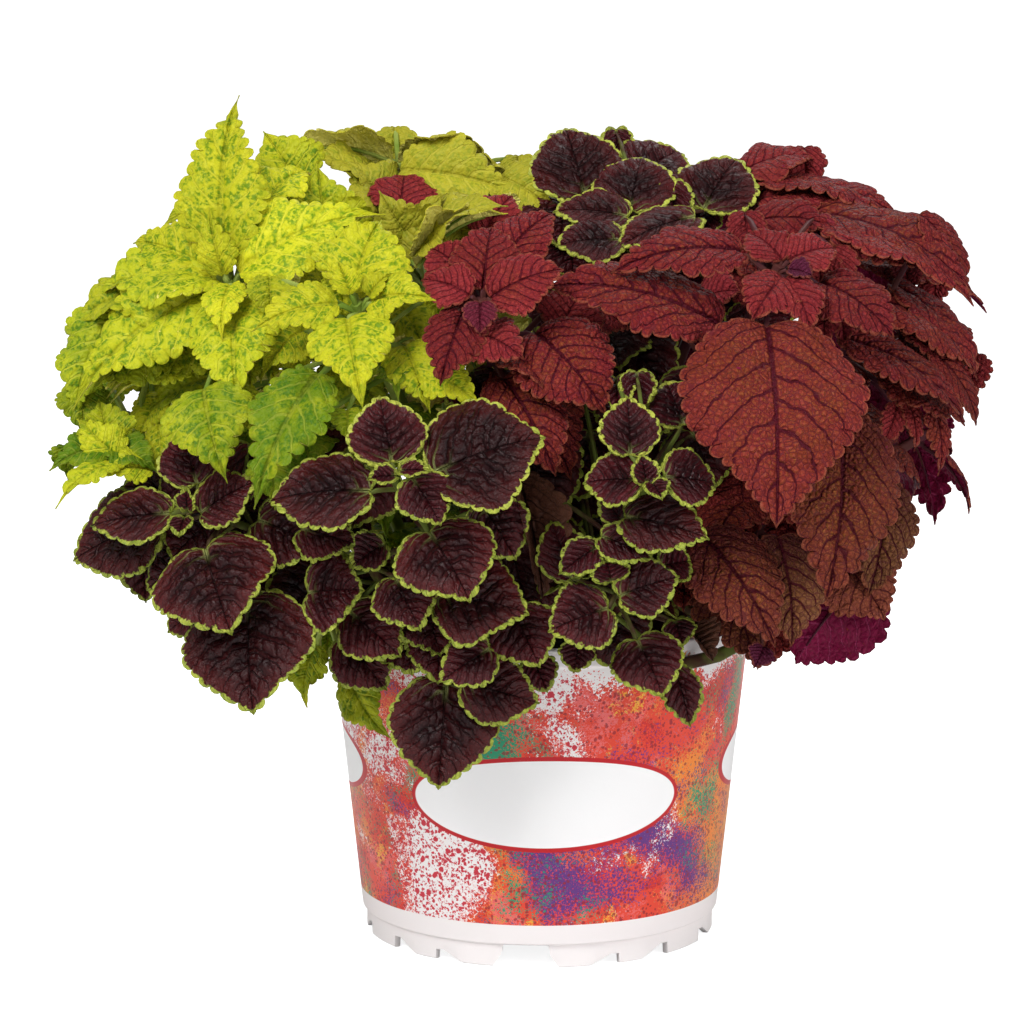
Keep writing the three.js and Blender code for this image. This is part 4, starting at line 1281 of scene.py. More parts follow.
def red_blade(looks):
    """Brick red with a net of maroon veins and rusty cells between them; old leaves get a painted
    shadow over the base, and golden flecks that are partly painted glints.
    """
    material, tree, shader = blank_material("red_blade")
    veins = leaf_veins(tree, "red", 1.3, 2.3, 0.28)
    span, age = mark(tree, "span"), mark(tree, "age")
    young = span.step(16.0, 44.0, 1.0, 0.0)
    golden = blotches(tree, 16.0, 0.52, 0.15) * 0.6 + 0.5
    inland = mark(tree, "rim").step(2.0, 13.0, 0.1, 0.6) * (1.0 - young) * golden
    inland = inland * (1.0 - age * 0.7)
    # Golden flecks between the veins: partly the leaf's own colour, partly painted glints on its
    # swollen cells.
    flecks = blotches(tree, 1.3, 0.46, 0.06, 0.0) * inland * age.step(0.0, 0.4, 0.3, 1.0)
    base_shadow = (mark(tree, "run") / span).step(0.0, 0.6, 1.0, 0.0)
    lines = strongest(veins["Midrib"], veins["Side Veins"])
    colour = layered(
        tree, looks.blade,
        (blotches(tree, 8.0, 0.5, 0.15) * 0.35 + mark(tree, "shade") * 0.5, looks.old),
        (blotches(tree, 26.0, 0.52, 0.15) * 0.45, looks.mottle),
        (age * 0.9, looks.dull),
        (young * 0.7, looks.mottle),
        (span.step(11.0, 19.0, 0.8, 0.0), looks.bud),
        (veins["Cell"] * inland, looks.cell),
        (flecks, looks.golden_fleck_and_glint),
        # painted shadow: darkens the base half of an old or shadowed leaf
        (base_shadow * (age * 1.8).math("MINIMUM", 0.6), looks.vein),
        (veins["Net"] * (0.72 - young * 0.35), looks.vein),
        (lines * (0.9 - young * 0.35), looks.vein),
        (margin_band(tree, looks.margin_width / MM, 0.15) * 0.6, looks.margin),
    )
    relief = leaf_relief(tree, veins, 0.85, 1.1, 0.7, 1.1)
    coat(shader, leaf_to_leaf(tree, colour, 0.8, 1.15), 0.4, relief, 0.08)
    return material


def red_underside(looks):
    """Wine red below, with paler ribs."""
    material, tree, shader = blank_material("red_underside")
    veins = leaf_veins(tree, "red", 1.0, 2.8, 0.3)
    lines = strongest(veins["Midrib"], veins["Side Veins"])
    colour = layered(tree, looks.under, (lines * 0.6, looks.rib), (veins["Net"] * 0.4, looks.vein))
    coat(shader, leaf_to_leaf(tree, colour), 0.5, leaf_relief(tree, veins, 0.8), LEAF_GLOSS)
    return material


def stalk_skin(name, looks):
    """A fleshy stalk, flushed with a second colour along its length."""
    material, tree, shader = blank_material(name)
    colour = mix(tree, grain(tree, 14.0).step(0.4, 0.62), looks.stalk, looks.flush)
    coat(shader, colour, 0.45, bump(grain(tree, 0.9), 0.3, 0.3 * MM), LEAF_GLOSS)
    return material


# ---- leafy stems ----

STEM_ROUNDING = {"lime": 0.22, "dark": 0.26, "red": 0.22}  # share of the stem's thickness
CORNER_STEPS = 2
LEAF_SHARP_FROM, POT_SHARP_FROM = 55, 35  # degrees between faces that leave a sharp edge


def build_stalk_tree():
    """Tubes along the stem and its stalks, joined to the blades that come with them."""
    tree, start, end = geometry_tree(
        "Stalks along paths",
        {"Stalk Material": "Material", "Corner Radius": "Float", "Corner Steps": "Int"},
    )
    thick = add(tree, "GeometryNodeInputNamedAttribute", {"Name": "thick"}, data_type="FLOAT")
    thick = thick.outputs["Attribute"]
    is_path = add(tree, "FunctionNodeCompare", {0: thick, 1: 0.0}, operation="GREATER_THAN")
    parts = add(tree, "GeometryNodeSeparateGeometry",
                {"Geometry": start["Geometry"], "Selection": is_path.outputs[0]}, domain="POINT")
    path = add(tree, "GeometryNodeMeshToCurve", {"Mesh": parts.outputs["Selection"]})
    square = add(tree, "GeometryNodeCurvePrimitiveQuadrilateral", {"Width": 1.0, "Height": 1.0})
    section = add(tree, "GeometryNodeFilletCurve",
                  {"Curve": square.outputs[0], "Radius": start["Corner Radius"],
                   "Count": start["Corner Steps"]}, mode="POLY")
    tube = add(tree, "GeometryNodeCurveToMesh",
               {"Curve": path.outputs[0], "Profile Curve": section.outputs[0], "Scale": thick,
                "Fill Caps": True})
    smooth = add(tree, "GeometryNodeSetShadeSmooth", {"Geometry": tube.outputs[0]})
    joined = add(tree, "GeometryNodeJoinGeometry", {"Geometry": smooth.outputs[0]})
    put(joined, {0: parts.outputs["Inverted"]})
    real = add(tree, "GeometryNodeRealizeInstances", {"Geometry": joined.outputs[0]})
    done = add(tree, "GeometryNodeSetMaterial",
               {"Geometry": real.outputs[0], "Selection": is_path.outputs[0],
                "Material": start["Stalk Material"]})
    put(end, {"Geometry": done.outputs[0]})
    return tree


def evaluated(source, name):
    """The plain mesh that an object's modifiers make, in place of the object."""
    bpy.context.view_layer.update()
    depsgraph = bpy.context.evaluated_depsgraph_get()
    mesh = bpy.data.meshes.new_from_object(source.evaluated_get(depsgraph))
    bpy.data.objects.remove(source)
    mesh.name = name
    return mesh


def baked(name, mesh, tree, values):
    """The plain mesh that a node tree makes of a mesh."""
    source = bpy.data.objects.new(name + "_source", mesh)
    bpy.context.scene.collection.objects.link(source)
    modifier = source.modifiers.new(tree.name, "NODES")
    modifier.node_group = tree
    sockets = {item.name: item.identifier for item in tree.interface.items_tree
               if item.in_out == "INPUT"}
    for label, value in values.items():
        modifier[sockets[label]] = value
    return evaluated(source, name)


def smoothed(mesh, sharp_from):
    """A mesh shaded smooth but for its sharp edges."""
    mesh.shade_smooth()
    mesh.set_sharp_from_angle(angle=math.radians(sharp_from))
    return mesh


def piece(name, mesh, slot, *nodes):
    """A finished piece: it rides on the one body and stands for its CAD nodes."""
    made = bpy.data.objects.new(name, mesh)
    bpy.context.scene.collection.objects.link(made)
    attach(made, "root")
    if nodes:
        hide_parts(*nodes)


def dress_stems(kind, slot, materials, stalk_material):
    """Every leafy stem of one kind of plant."""
    tree = bpy.data.node_groups.get("Stalks along paths") or build_stalk_tree()
    values = {"Stalk Material": stalk_material, "Corner Radius": STEM_ROUNDING[kind],
              "Corner Steps": CORNER_STEPS}
    for name, stem in STEMS.items():
        if stem.kind == kind:
            mesh = mesh_from_growth(name, grow(name, stem), materials)
            mesh = smoothed(baked(name + "_foliage", mesh, tree, values), LEAF_SHARP_FROM)
            piece(name + "_foliage", mesh, slot, name)


# ---- pot ----

FOOT_RADIUS, FOOT_HEIGHT, FOOT_WALL = 71.3, 10, 2.8
LEDGE_RADIUS, SHOULDER_RADIUS, RIM_RADIUS = 73, 85.3, 87.6
RIM_DROP, WALL, FLOOR_UNDER, FLOOR_THICK = 8, 1.9, 11, 2.2
DRAIN_RADIUS, DRAIN_RING, DRAIN_COUNT = 4.5, 48, 6
FOOT_FRONT_ANGLE, FOOT_THIRDS = -94.5, 3
# one third of the foot ring: middle angle, width in degrees and height of each cut, and how far
# its two sides slope away
FOOT_CUTS = [(0, 15, 9.2, 4, 4), (29.5, 3, 4.2, 9, 0.3), (49, 3.2, 5, 10, 0.3),
             (71, 3.2, 5, 0.3, 10), (90.5, 3, 4.2, 0.3, 9)]
FOOT_STRAIGHT = 5.5  # height up to which the sides of a cut slope
POT_SEGMENTS = 192
POT_HEIGHT = POT_HIGH.z / MM
SOFTENED_FROM = 40  # degrees between the faces of an edge


def rounded(corners, radii, steps=5):
    """A closed outline with its corners rounded, each by its own radius."""
    points = []
    for k, corner in enumerate(corners):
        here = np.array(corner, float)
        before = np.array(corners[k - 1], float) - here
        after = np.array(corners[(k + 1) % len(corners)], float) - here
        if radii[k] == 0:
            points.append(here)
            continue
        start, end = here + unit(before) * radii[k], here + unit(after) * radii[k]
        for t in np.linspace(0, 1, steps):
            points.append((1 - t) ** 2 * start + 2 * t * (1 - t) * here + t * t * end)
    return points


def lathe(outline_points, segments):
    """A closed solid of revolution; the outline starts and ends on the axis."""
    form = bmesh.new()
    side = outline_points[1:-1]
    ring = [[form.verts.new((r * math.cos(a), r * math.sin(a), z)) for r, z in side]
            for a in (2 * math.pi * k / segments for k in range(segments))]
    first = form.verts.new((0, 0, outline_points[0][1]))
    last = form.verts.new((0, 0, outline_points[-1][1]))
    for k in range(segments):
        near, far = ring[k], ring[(k + 1) % segments]
        form.faces.new((first, far[0], near[0]))
        form.faces.new((last, near[-1], far[-1]))
        for a in range(len(near) - 1):
            form.faces.new((near[a], far[a], far[a + 1], near[a + 1]))
    bmesh.ops.recalc_face_normals(form, faces=form.faces)
    return form


def pot_outline():
    """The pot's section from the middle of its underside, round the rim, to the floor's top."""
    bore = SHOULDER_RADIUS - WALL
    rim_under = POT_HEIGHT - RIM_DROP
    foot_in = FOOT_RADIUS - FOOT_WALL
    floor_top = FLOOR_UNDER + FLOOR_THICK
    corners = [
        (foot_in, FLOOR_UNDER, 0.8), (foot_in, 0, 0.7), (FOOT_RADIUS, 0, 0.9),
        (FOOT_RADIUS, FOOT_HEIGHT - 0.7, 0.5), (LEDGE_RADIUS, FOOT_HEIGHT, 0.45),
        (SHOULDER_RADIUS, rim_under, 1.0), (RIM_RADIUS, rim_under + 0.8, 0.8),
        (RIM_RADIUS, POT_HEIGHT, 1.6), (bore, POT_HEIGHT, 1.6), (bore, rim_under, 1.5),
        (LEDGE_RADIUS - WALL, floor_top, 2),
    ]
    return rounded([(0, FLOOR_UNDER)] + [c[:2] for c in corners] + [(0, floor_top)],
                   [0] + [c[2] for c in corners] + [0])


def foot_cutters():
    """Flared notches through the foot ring and the drain holes, as one set of closed solids."""
    form = bmesh.new()
    for third in range(FOOT_THIRDS):
        for middle, width, height, before, after in FOOT_CUTS:
            half = FOOT_RADIUS * math.sin(math.radians(width / 2))
            bend = min(height, FOOT_STRAIGHT)
            further = 1 + 3 / bend
            corners = [(-half - before * further, -3), (half + after * further, -3), (half, bend),
                       (half, height + 0.1), (-half, height + 0.1), (-half, bend)]
            soft = min(3, (height - bend) / 2)
            section = rounded(corners, [0, 0, soft, min(soft, 1.5), min(soft, 1.5), soft], 6)
            angle = math.radians(FOOT_FRONT_ANGLE + middle + third * 360 / FOOT_THIRDS)
            turn = Matrix.Rotation(angle, 4, "Z")
            loops = [[form.verts.new(turn @ Vector((r, y, z))) for y, z in section]
                     for r in (FOOT_RADIUS - 3 * FOOT_WALL, FOOT_RADIUS + 2 * FOOT_WALL)]
            count = len(section)
            form.faces.new(loops[0])
            form.faces.new(loops[1][::-1])
            for k in range(count):
                n = (k + 1) % count
                form.faces.new((loops[0][k], loops[1][k], loops[1][n], loops[0][n]))
    for k in range(DRAIN_COUNT + 1):
        angle = 2 * math.pi * k / DRAIN_COUNT
        ring = DRAIN_RING if k < DRAIN_COUNT else 0
        place = (ring * math.cos(angle), ring * math.sin(angle), FLOOR_UNDER + FLOOR_THICK / 2)
        bmesh.ops.create_cone(form, cap_ends=True, segments=32, radius1=DRAIN_RADIUS,
                              radius2=DRAIN_RADIUS, depth=3 * FLOOR_THICK,
                              matrix=Matrix.Translation(place))
    bmesh.ops.recalc_face_normals(form, faces=form.faces)
    return form


def object_of(form, name):
    """A scene object of a bmesh in millimetres."""
    mesh = bpy.data.meshes.new(name)
    form.to_mesh(mesh)
    form.free()
    mesh.transform(Matrix.Scale(MM, 4))
    made = bpy.data.objects.new(name, mesh)
    bpy.context.scene.collection.objects.link(made)
    return made


def make_pot(looks):
    """The moulded pot: lathed wall, notched foot ring and drain holes, with softened edges."""
    blank = object_of(lathe(pot_outline(), POT_SEGMENTS), "pot_blank")
    cutters = object_of(foot_cutters(), "pot_cutters")
    cut = blank.modifiers.new("Notches and drains", "BOOLEAN")
    cut.operation, cut.solver, cut.object = "DIFFERENCE", "EXACT", cutters
    soften = blank.modifiers.new("Softened edges", "BEVEL")
    soften.width, soften.segments = looks.edge, 2
    soften.limit_method, soften.angle_limit = "ANGLE", math.radians(SOFTENED_FROM)
    mesh = evaluated(blank, "printed_pot")
    bpy.data.objects.remove(cutters)
    mesh.materials.clear()
    mesh.materials.append(printed_plastic(looks))
    piece("printed_pot", smoothed(mesh, POT_SHARP_FROM), "pot_plastic", "pot")


# ---- print on the pot ----

# In metres: how unevenly the print's upper edge runs, how far powder is strewn along it, how far
# below it the bare ground starts to grow, and what sets the print's inner limit between the two
# faces of the wall.
PRINT_RAGGED, PRINT_POWDER, PRINT_THINS, WALL_INSET = 0.036, 0.024, 0.022, 0.0029
PRINT_RADIUS = 79.5  # of the wall at the panels
WALL_SLOPE = (SHOULDER_RADIUS - LEDGE_RADIUS) / (POT_HEIGHT - RIM_DROP - FOOT_HEIGHT)
SPECK_BEND = 0.0011  # how far specks are pushed out of round, in metres
FLANK_LINE = 2.2  # how much wider the line of a flank panel is at its ends


def build_print_wash():
    """A cloud of powdery colour with a grainy edge; its seed moves it elsewhere."""
    tree, start, end = new_group(
        "Print wash", {"Size": 30.0, "Amount": 0.5, "Powder": 0.15, "Seed": 0.0}, ("Mask",)
    )
    spot = object_place(tree)
    cloud = noise(tree, spot, METRE / start["Size"], 3.0, 0.55, 0.6, start["Seed"])
    powder = (noise(tree, spot, 1150.0, 3.0, 0.75) - 0.5) * start["Powder"]
    bar = 1.0 - start["Amount"]
    put(end, {"Mask": (cloud + powder).step(bar - 0.012, bar + 0.012)})


def build_print_specks():
    """Scattered dots of uneven size."""
    tree, start, end = new_group("Print specks", {"Spacing": 2.0, "Amount": 0.5}, ("Mask",))
    spot = object_place(tree)
    bend = add(tree, "ShaderNodeTexNoise", {"Vector": spot, "Scale": 700.0, "Detail": 1.0})
    bent = add(tree, "ShaderNodeVectorMath",
               {0: bend.outputs["Color"], 1: (SPECK_BEND, SPECK_BEND, SPECK_BEND), 2: spot},
               operation="MULTIPLY_ADD")
    dots = add(tree, "ShaderNodeTexVoronoi",
               {"Vector": bent.outputs[0], "Scale": METRE / start["Spacing"]})
    parts = add(tree, "ShaderNodeSeparateColor", {0: dots.outputs["Color"]})
    radius = Value(parts.outputs[0]) ** 1.6 * start["Amount"]
    share = Value(dots.outputs["Distance"]) / radius.math("MAXIMUM", 0.02)
    put(end, {"Mask": share.step(0.85, 1.1, 1.0, 0.0)})


def printed_plastic(looks):
    """White satin plastic with a speckled printed band and plain oval panels."""
    material, tree, shader = blank_material("printed_plastic")
    spot = object_place(tree)
    x, y, z = axes(tree, spot)

    def wash(size, amount, powder, seed):
        """Clouds of about this size in millimetres."""
        values = {"Size": size, "Amount": amount, "Powder": powder, "Seed": seed}
        return use(tree, "Print wash", values)["Mask"]

    def specks(spacing, amount):
        """Dots about this far apart in millimetres."""
        return use(tree, "Print specks", {"Spacing": spacing, "Amount": amount})["Mask"]

    barer = z.step(looks.print_high - PRINT_THINS, looks.print_high, 0.42, 0.54)
    dots = strongest(specks(2.4, 0.6), specks(1.3, 0.62), wash(1.6, 0.42, 0.5, 61.0))
    colour = layered(
        tree, looks.coral,
        (wash(18.0, 0.42, 1.0, 3.0), looks.pink),
        (wash(20.0, 0.42, 0.7, 7.0), looks.deep_coral),
        (wash(50.0, 0.45, 0.7, 11.0), looks.orange),
        (wash(16.0, 0.36, 0.8, 15.0), looks.amber),
        (wash(52.0, 0.43, 0.8, 23.0), looks.violet),
        (wash(46.0, 0.42, 0.7, 37.0), looks.teal),
        (specks(1.5, 0.6) * 0.75, looks.deep),
        (wash(46.0, barer, 0.4, 51.0), mix(tree, dots, looks.plastic, looks.crimson)),
    )

    edge = noise(tree, spot, 40.0, 3.0) * PRINT_RAGGED + (looks.print_high - PRINT_RAGGED / 2)
    powder = noise(tree, spot, 900.0, 2.0, 0.7) * PRINT_POWDER - PRINT_POWDER / 2
    wall = z * WALL_SLOPE + (LEDGE_RADIUS * MM - WALL_INSET)
    outside = (x * x + y * y).math("SQRT") > wall
    printed = (z + powder < edge) * (z > looks.print_low) * outside

    turn = x.math("ARCTAN2", y * -1.0) - looks.panel_turn
    number = (turn / looks.panel_spacing).math("ROUND")
    across = (turn - number * looks.panel_spacing) * (PRINT_RADIUS * MM)
    on_flank = abs(number).math("MODULO", 2.0)

    def either(large, small):
        """The first number on the front and back panels, the second on the flanks'."""
        return on_flank * (small - large) + large

    upward = z - either(looks.panel_middle, looks.small_middle)

    def oval(border):
        """A panel with a border round it, which is wider at the flanks."""
        wide = either(looks.panel_width / 2 + border, looks.small_width / 2 + FLANK_LINE * border)
        high = either(looks.panel_height / 2 + border, looks.small_height / 2 + border)
        wide, high = across / wide, upward / high
        return (wide * wide + high * high).step(0.99, 1.01, 1.0, 0.0)

    panels = layered(tree, colour, (oval(looks.outline_width), looks.outline),
                     (oval(0.0), looks.panel))
    colour = mix(tree, printed, looks.plastic, panels)
    roughness = grain(tree, 25.0).step(0.3, 0.7, 0.3, 0.4)
    coat(shader, colour, roughness, bump(grain(tree, 0.6), 0.12, 0.2 * MM), 0.3)
    return material


# ---- potting mix ----

MIX_RINGS, MIX_SEGMENTS = 26, 96
FULL_TURNS = (6.283, 6.283, 6.283)
CRUMB_FORMS = ((0.3, 0.3, 0.25), (1.6, 1.0, 0.7))  # the least and the most, along each axis
MIX_WALL_HEIGHTS = (95, 60)  # rings of the bed's side between its top edge and its underside
MIX_CLEAR = 0.4  # from the pot's wall at the floor
MIX_TOP_CLEAR = 0.2
MIX_SUNK, MIX_FALL, MIX_LUMPS, MIX_LUMP_SIZE = 1.2, 3.0, 0.9, 14
MIX_EDGE_RADIUS = 82
MIX_SHOULDER = 4  # how far below its crown the bed is widest


def mix_height(x, y):
    """Height of the mix, crowned in the middle, with lumps."""
    crown = SOIL_HIGH.z / MM - MIX_SUNK
    fall = MIX_FALL * (math.hypot(x, y) / MIX_EDGE_RADIUS) ** 2
    lump = mathutils.noise.fractal(Vector((x, y, 3)) / MIX_LUMP_SIZE, 1.0, 2.0, 4)
    return crown - fall + MIX_LUMPS * lump


def mix_bed():
    """The bed of potting mix as one closed body with a lumpy top."""
    low, wide = SOIL_LOW.z / MM, SOIL_HIGH.x / MM
    inner = LEDGE_RADIUS - WALL - MIX_CLEAR
    slope = (wide - inner) / (SOIL_HIGH.z / MM - MIX_SHOULDER - low)
    turns = [2 * math.pi * s / MIX_SEGMENTS for s in range(MIX_SEGMENTS)]
    form = bmesh.new()
    middle = form.verts.new((0, 0, mix_height(0, 0)))
    rings = []
    for k in range(1, MIX_RINGS + 1):
        radius = (wide - MIX_TOP_CLEAR) * k / MIX_RINGS
        spots = [(radius * math.cos(a), radius * math.sin(a)) for a in turns]
        rings.append([form.verts.new((x, y, mix_height(x, y))) for x, y in spots])
    for z in (*MIX_WALL_HEIGHTS, low):
        radius = inner + slope * (z - low)
        rings.append([form.verts.new((radius * math.cos(a), radius * math.sin(a), z))
                      for a in turns])
    bottom = form.verts.new((0, 0, low))
    for s in range(MIX_SEGMENTS):
        t = (s + 1) % MIX_SEGMENTS
        form.faces.new((middle, rings[0][s], rings[0][t]))
        form.faces.new((bottom, rings[-1][t], rings[-1][s]))
        for near, far in zip(rings, rings[1:]):
            form.faces.new((near[s], far[s], far[t], near[t]))
    bmesh.ops.recalc_face_normals(form, faces=form.faces)
    return object_of(form, "mix_bed")


def make_mix(looks):
    """The bed of potting mix, and the crumbs and white grains that lie on it."""
    bed = mix_bed()
    mesh = bed.data
    mesh.materials.append(loose_mix(looks, "loose_mix"))
    mesh.shade_smooth()
    tree = build_crumb_tree()
    crumbs = baked("mix_crumbs", mesh.copy(), tree,
                   {"Density": looks.crumbs, "Size": looks.crumb_size, "Seed": 4,
                    "Crumb Material": loose_mix(looks, "bark_crumbs", True)})
    grit = baked("mix_grit", mesh.copy(), tree,
                 {"Density": looks.grit, "Size": looks.crumb_size * 0.8, "Seed": 9,
                  "Crumb Material": perlite(looks)})
    bpy.data.objects.remove(bed)
    piece("potting_mix_bed", mesh, "potting_mix", "soil")
    piece("potting_mix_crumbs", crumbs, "potting_mix")
    piece("potting_mix_grit", grit, "potting_mix")


def build_crumb_tree():
    """Angular crumbs scattered over the upward faces of a bed."""
    tree, start, end = geometry_tree(
        "Crumbs on a bed",
        {"Density": "Float", "Size": "Float", "Seed": "Int", "Crumb Material": "Material"},
    )
    upward = axes(tree, add(tree, "GeometryNodeInputNormal").outputs[0])[2]
    is_top = add(tree, "FunctionNodeCompare", {0: upward, 1: 0.5}, operation="GREATER_THAN")
    points = add(tree, "GeometryNodeDistributePointsOnFaces",
                 {"Mesh": start["Geometry"], "Selection": is_top.outputs[0],
                  "Density": start["Density"], "Seed": start["Seed"]})
    crumb = add(tree, "GeometryNodeMeshIcoSphere", {"Radius": start["Size"], "Subdivisions": 1})

    def any_between(low, high):
        """A vector that differs from crumb to crumb."""
        inputs = {0: low, 1: high, "Seed": start["Seed"]}
        made = add(tree, "FunctionNodeRandomValue", inputs, data_type="FLOAT_VECTOR")
        return made.outputs[0]

    placed = add(tree, "GeometryNodeInstanceOnPoints",
                 {"Points": points.outputs[0], "Instance": crumb.outputs[0],
                  "Rotation": any_between((0.0, 0.0, 0.0), FULL_TURNS),
                  "Scale": any_between(*CRUMB_FORMS)})
    real = add(tree, "GeometryNodeRealizeInstances", {"Geometry": placed.outputs[0]})
    done = add(tree, "GeometryNodeSetMaterial",
               {"Geometry": real.outputs[0], "Material": start["Crumb Material"]})
    put(end, {"Geometry": done.outputs[0]})
    return tree


def loose_mix(looks, name, bark=False):
    """Dark, damp and fibrous."""
    material, tree, shader = blank_material(name)
    fibres = grain(tree, 1.1, 4.0)
    light = looks.bark if bark else looks.dry
    colour = layered(tree, looks.damp, (grain(tree, 9.0, 5.0).step(0.35, 0.68), light),
                     (fibres.step(0.45, 0.7) * 0.5, light))
    coat(shader, colour, 0.92, bump(fibres, 0.9, 1.2 * MM))
    return material


def perlite(looks):
    """Chalky white grit, stained by the mix."""
    material, tree, shader = blank_material("perlite")
    stain = grain(tree, 2.5, 4.0)
    colour = mix(tree, stain.step(0.42, 0.66), looks.grit_colour, looks.dry)
    coat(shader, colour, 0.85, bump(stain, 0.6, 0.6 * MM))
    return material


# ---- stage ----

# name, place in metres, size in metres, share of the power
LIGHTS = [
    ("key_light", (-0.9, -1.2, 1.7), 1.2, 1.0),
    ("fill_light", (1.4, -1.0, 0.8), 1.2, 0.35),
    ("rear_light", (0.3, 1.3, 1.4), 1.0, 0.15),
]
LIGHT_AIM = Vector((0, 0, 0.2))
WHITE = (1, 1, 1, 1)
SENSOR_WIDTH = 36


def camera_rays(tree):
    """1 for what the camera sees itself, 0 for what only lights or mirrors see."""
    return Value(add(tree, "ShaderNodeLightPath").outputs["Is Camera Ray"])


def make_floor(looks):
    """A wide pale floor that glows for the camera, so that it stays white."""
    form = bmesh.new()
    bmesh.ops.create_circle(form, cap_ends=True, segments=96, radius=looks.floor_radius / MM)
    floor = object_of(form, "floor")
    material, tree, shader = blank_material("pale_floor")
    haze = noise(tree, object_place(tree), 6.0, 2.0).step(0.3, 0.7)
    put(shader, {"Base Color": mix(tree, haze, looks.floor, looks.floor_haze), "Roughness": 0.9,
                 "Specular IOR Level": 0.1, "Emission Color": WHITE,
                 "Emission Strength": camera_rays(tree) * looks.floor_glow})
    floor.data.materials.append(material)


def make_stage(looks):
    """Pale floor, even white surroundings, one large key light, a fill and the camera."""
    make_floor(looks)
    scene = bpy.context.scene
    world = bpy.data.worlds.new("white_surroundings")
    scene.world = world
    world.use_nodes = True
    tree = world.node_tree
    strength = camera_rays(tree) * (1.0 - looks.surroundings) + looks.surroundings
    put(tree.nodes["Background"], {"Color": WHITE, "Strength": strength})
    scene.view_settings.view_transform = "Standard"

    for name, place, size, power in LIGHTS:
        lamp = bpy.data.lights.new(name, "AREA")
        lamp.energy, lamp.size = power * looks.light_power, size
        made = bpy.data.objects.new(name, lamp)
        made.location = place
        made.rotation_euler = (LIGHT_AIM - Vector(place)).to_track_quat("-Z", "Y").to_euler()
        scene.collection.objects.link(made)

    lens = bpy.data.cameras.new("camera")
    lens.lens, lens.sensor_width = looks.lens, SENSOR_WIDTH
    camera = bpy.data.objects.new("camera", lens)
    camera.location = (0, -looks.camera_distance, looks.camera_height)
    camera.rotation_euler = (math.pi / 2 - looks.camera_pitch, 0, looks.camera_turn)
    scene.collection.objects.link(camera)
    scene.camera = camera


# ---- add-on ----


def paint(name, description, code):
    """A colour to set, given as its hex code."""
    return bpy.props.FloatVectorProperty(name=name, description=description, size=4, min=0, max=1,
                                         default=tint(code), subtype="COLOR")


def number(name, description, value, **settings):
    """A number to set, 0 or more."""
    return bpy.props.FloatProperty(name=name, description=description, default=value, min=0,
                                   **settings)


def measure(name, description, millimetres):
    """A length to set."""
    return number(name, description, millimetres * MM, unit="LENGTH")


def angle(name, description, degrees):
    """An angle to set."""
    return bpy.props.FloatProperty(name=name, description=description,
                                   default=math.radians(degrees), unit="ROTATION")


class LimeLooks(bpy.types.PropertyGroup):
    """Colours of the lime plants."""

    blade: paint("Blade", "Upper side of a young leaf", "D0CC26")
    mottle: paint("Mottle", "Green patches between the veins", "56820E")
    # Painted shade: the mottle of a shaded leaf, and a darkening over the whole of the deepest
    # leaves.
    deep: paint("Deep mottling", "Spots between the veins of a shaded leaf", "3A6A10")
    mid: paint("Middle tone", "Between blade and patches", "B6BC20")
    # Painted shade: the colour a leaf turns low or deep in the bush.
    old: paint("Shaded blade", "Upper side of a leaf low in the bush", "66840F")
    dull: paint("Dulled blade", "Upper side of an old leaf", "A89A34")
    vein: paint("Veins", "Midrib and veins", "DCD668")
    # Partly painted light: a pale underside made brighter still, standing in for light shining
    # through the leaf.
    under: paint("Underside", "Underside of a leaf", "F2E67C")
    stalk: paint("Stem", "Stem and leaf stalks", "94A24C")
    flush: paint("Stem flush", "Second colour of the stem", "6C862C")


class DarkLooks(bpy.types.PropertyGroup):
    """Colours of the dark plants with a lime edge."""

    blade: paint("Blade", "Upper side of a leaf", "591B1B")
    dry: paint("Dried leaf", "A dried, folded leaf", "6E4636")
    young: paint("Young blade", "Leaves round a tip", "561420")
    mottle: paint("Streaks", "Pale veins at a leaf's base", "AEB66C")
    old: paint("Shaded blade", "Darker patches of a leaf", "230C0F")
    vein: paint("Veins", "Veins and net", "190709")
    margin: paint("Margin", "Edge of a leaf", "C2C650")
    # Also the painted shade of the margin on leaves deep in the bush.
    margin_fleck_and_shade: paint("Margin flecks", "Second colour of the edge", "74882A")
    under: paint("Underside", "Underside of a leaf", "48222A")
    stalk: paint("Stem", "Stem and leaf stalks", "5E6A2C")
    flush: paint("Stem flush", "Second colour of the stem", "42281F")
    margin_width: measure("Margin width", "Average width of the lime edge", 1.1)


class RedLooks(bpy.types.PropertyGroup):
    """Colours of the red plants."""

    blade: paint("Blade", "Upper side of a leaf", "882829")
    mottle: paint("Young blade", "Leaves round a tip", "9E3438")
    bud: paint("Bud", "Smallest leaves at a tip", "542646")
    old: paint("Rusty blade", "Upper side of a leaf low in the bush", "8A4024")
    cell: paint("Cells", "Middle of the cells between the veins", "903E2B")
    # Partly painted glints: golden flecks that also stand in for small highlights.
    golden_fleck_and_glint: paint("Flecks", "Small golden flecks between the veins", "BE8238")
    dull: paint("Browned blade", "Upper side of an old leaf", "86603A")
    vein: paint("Veins", "Veins and net", "480E1E")
    margin: paint("Margin", "Thin edge and ribs of a leaf", "96503A")
    under: paint("Underside", "Underside of a leaf", "78123A")
    rib: paint("Ribs", "Raised ribs below a leaf", "A03A62")
    stalk: paint("Stem", "Stem and leaf stalks", "58302C")
    flush: paint("Stem flush", "Second colour of the stem", "4E2430")
    margin_width: measure("Margin width", "Average width of the pale edge", 0.6)


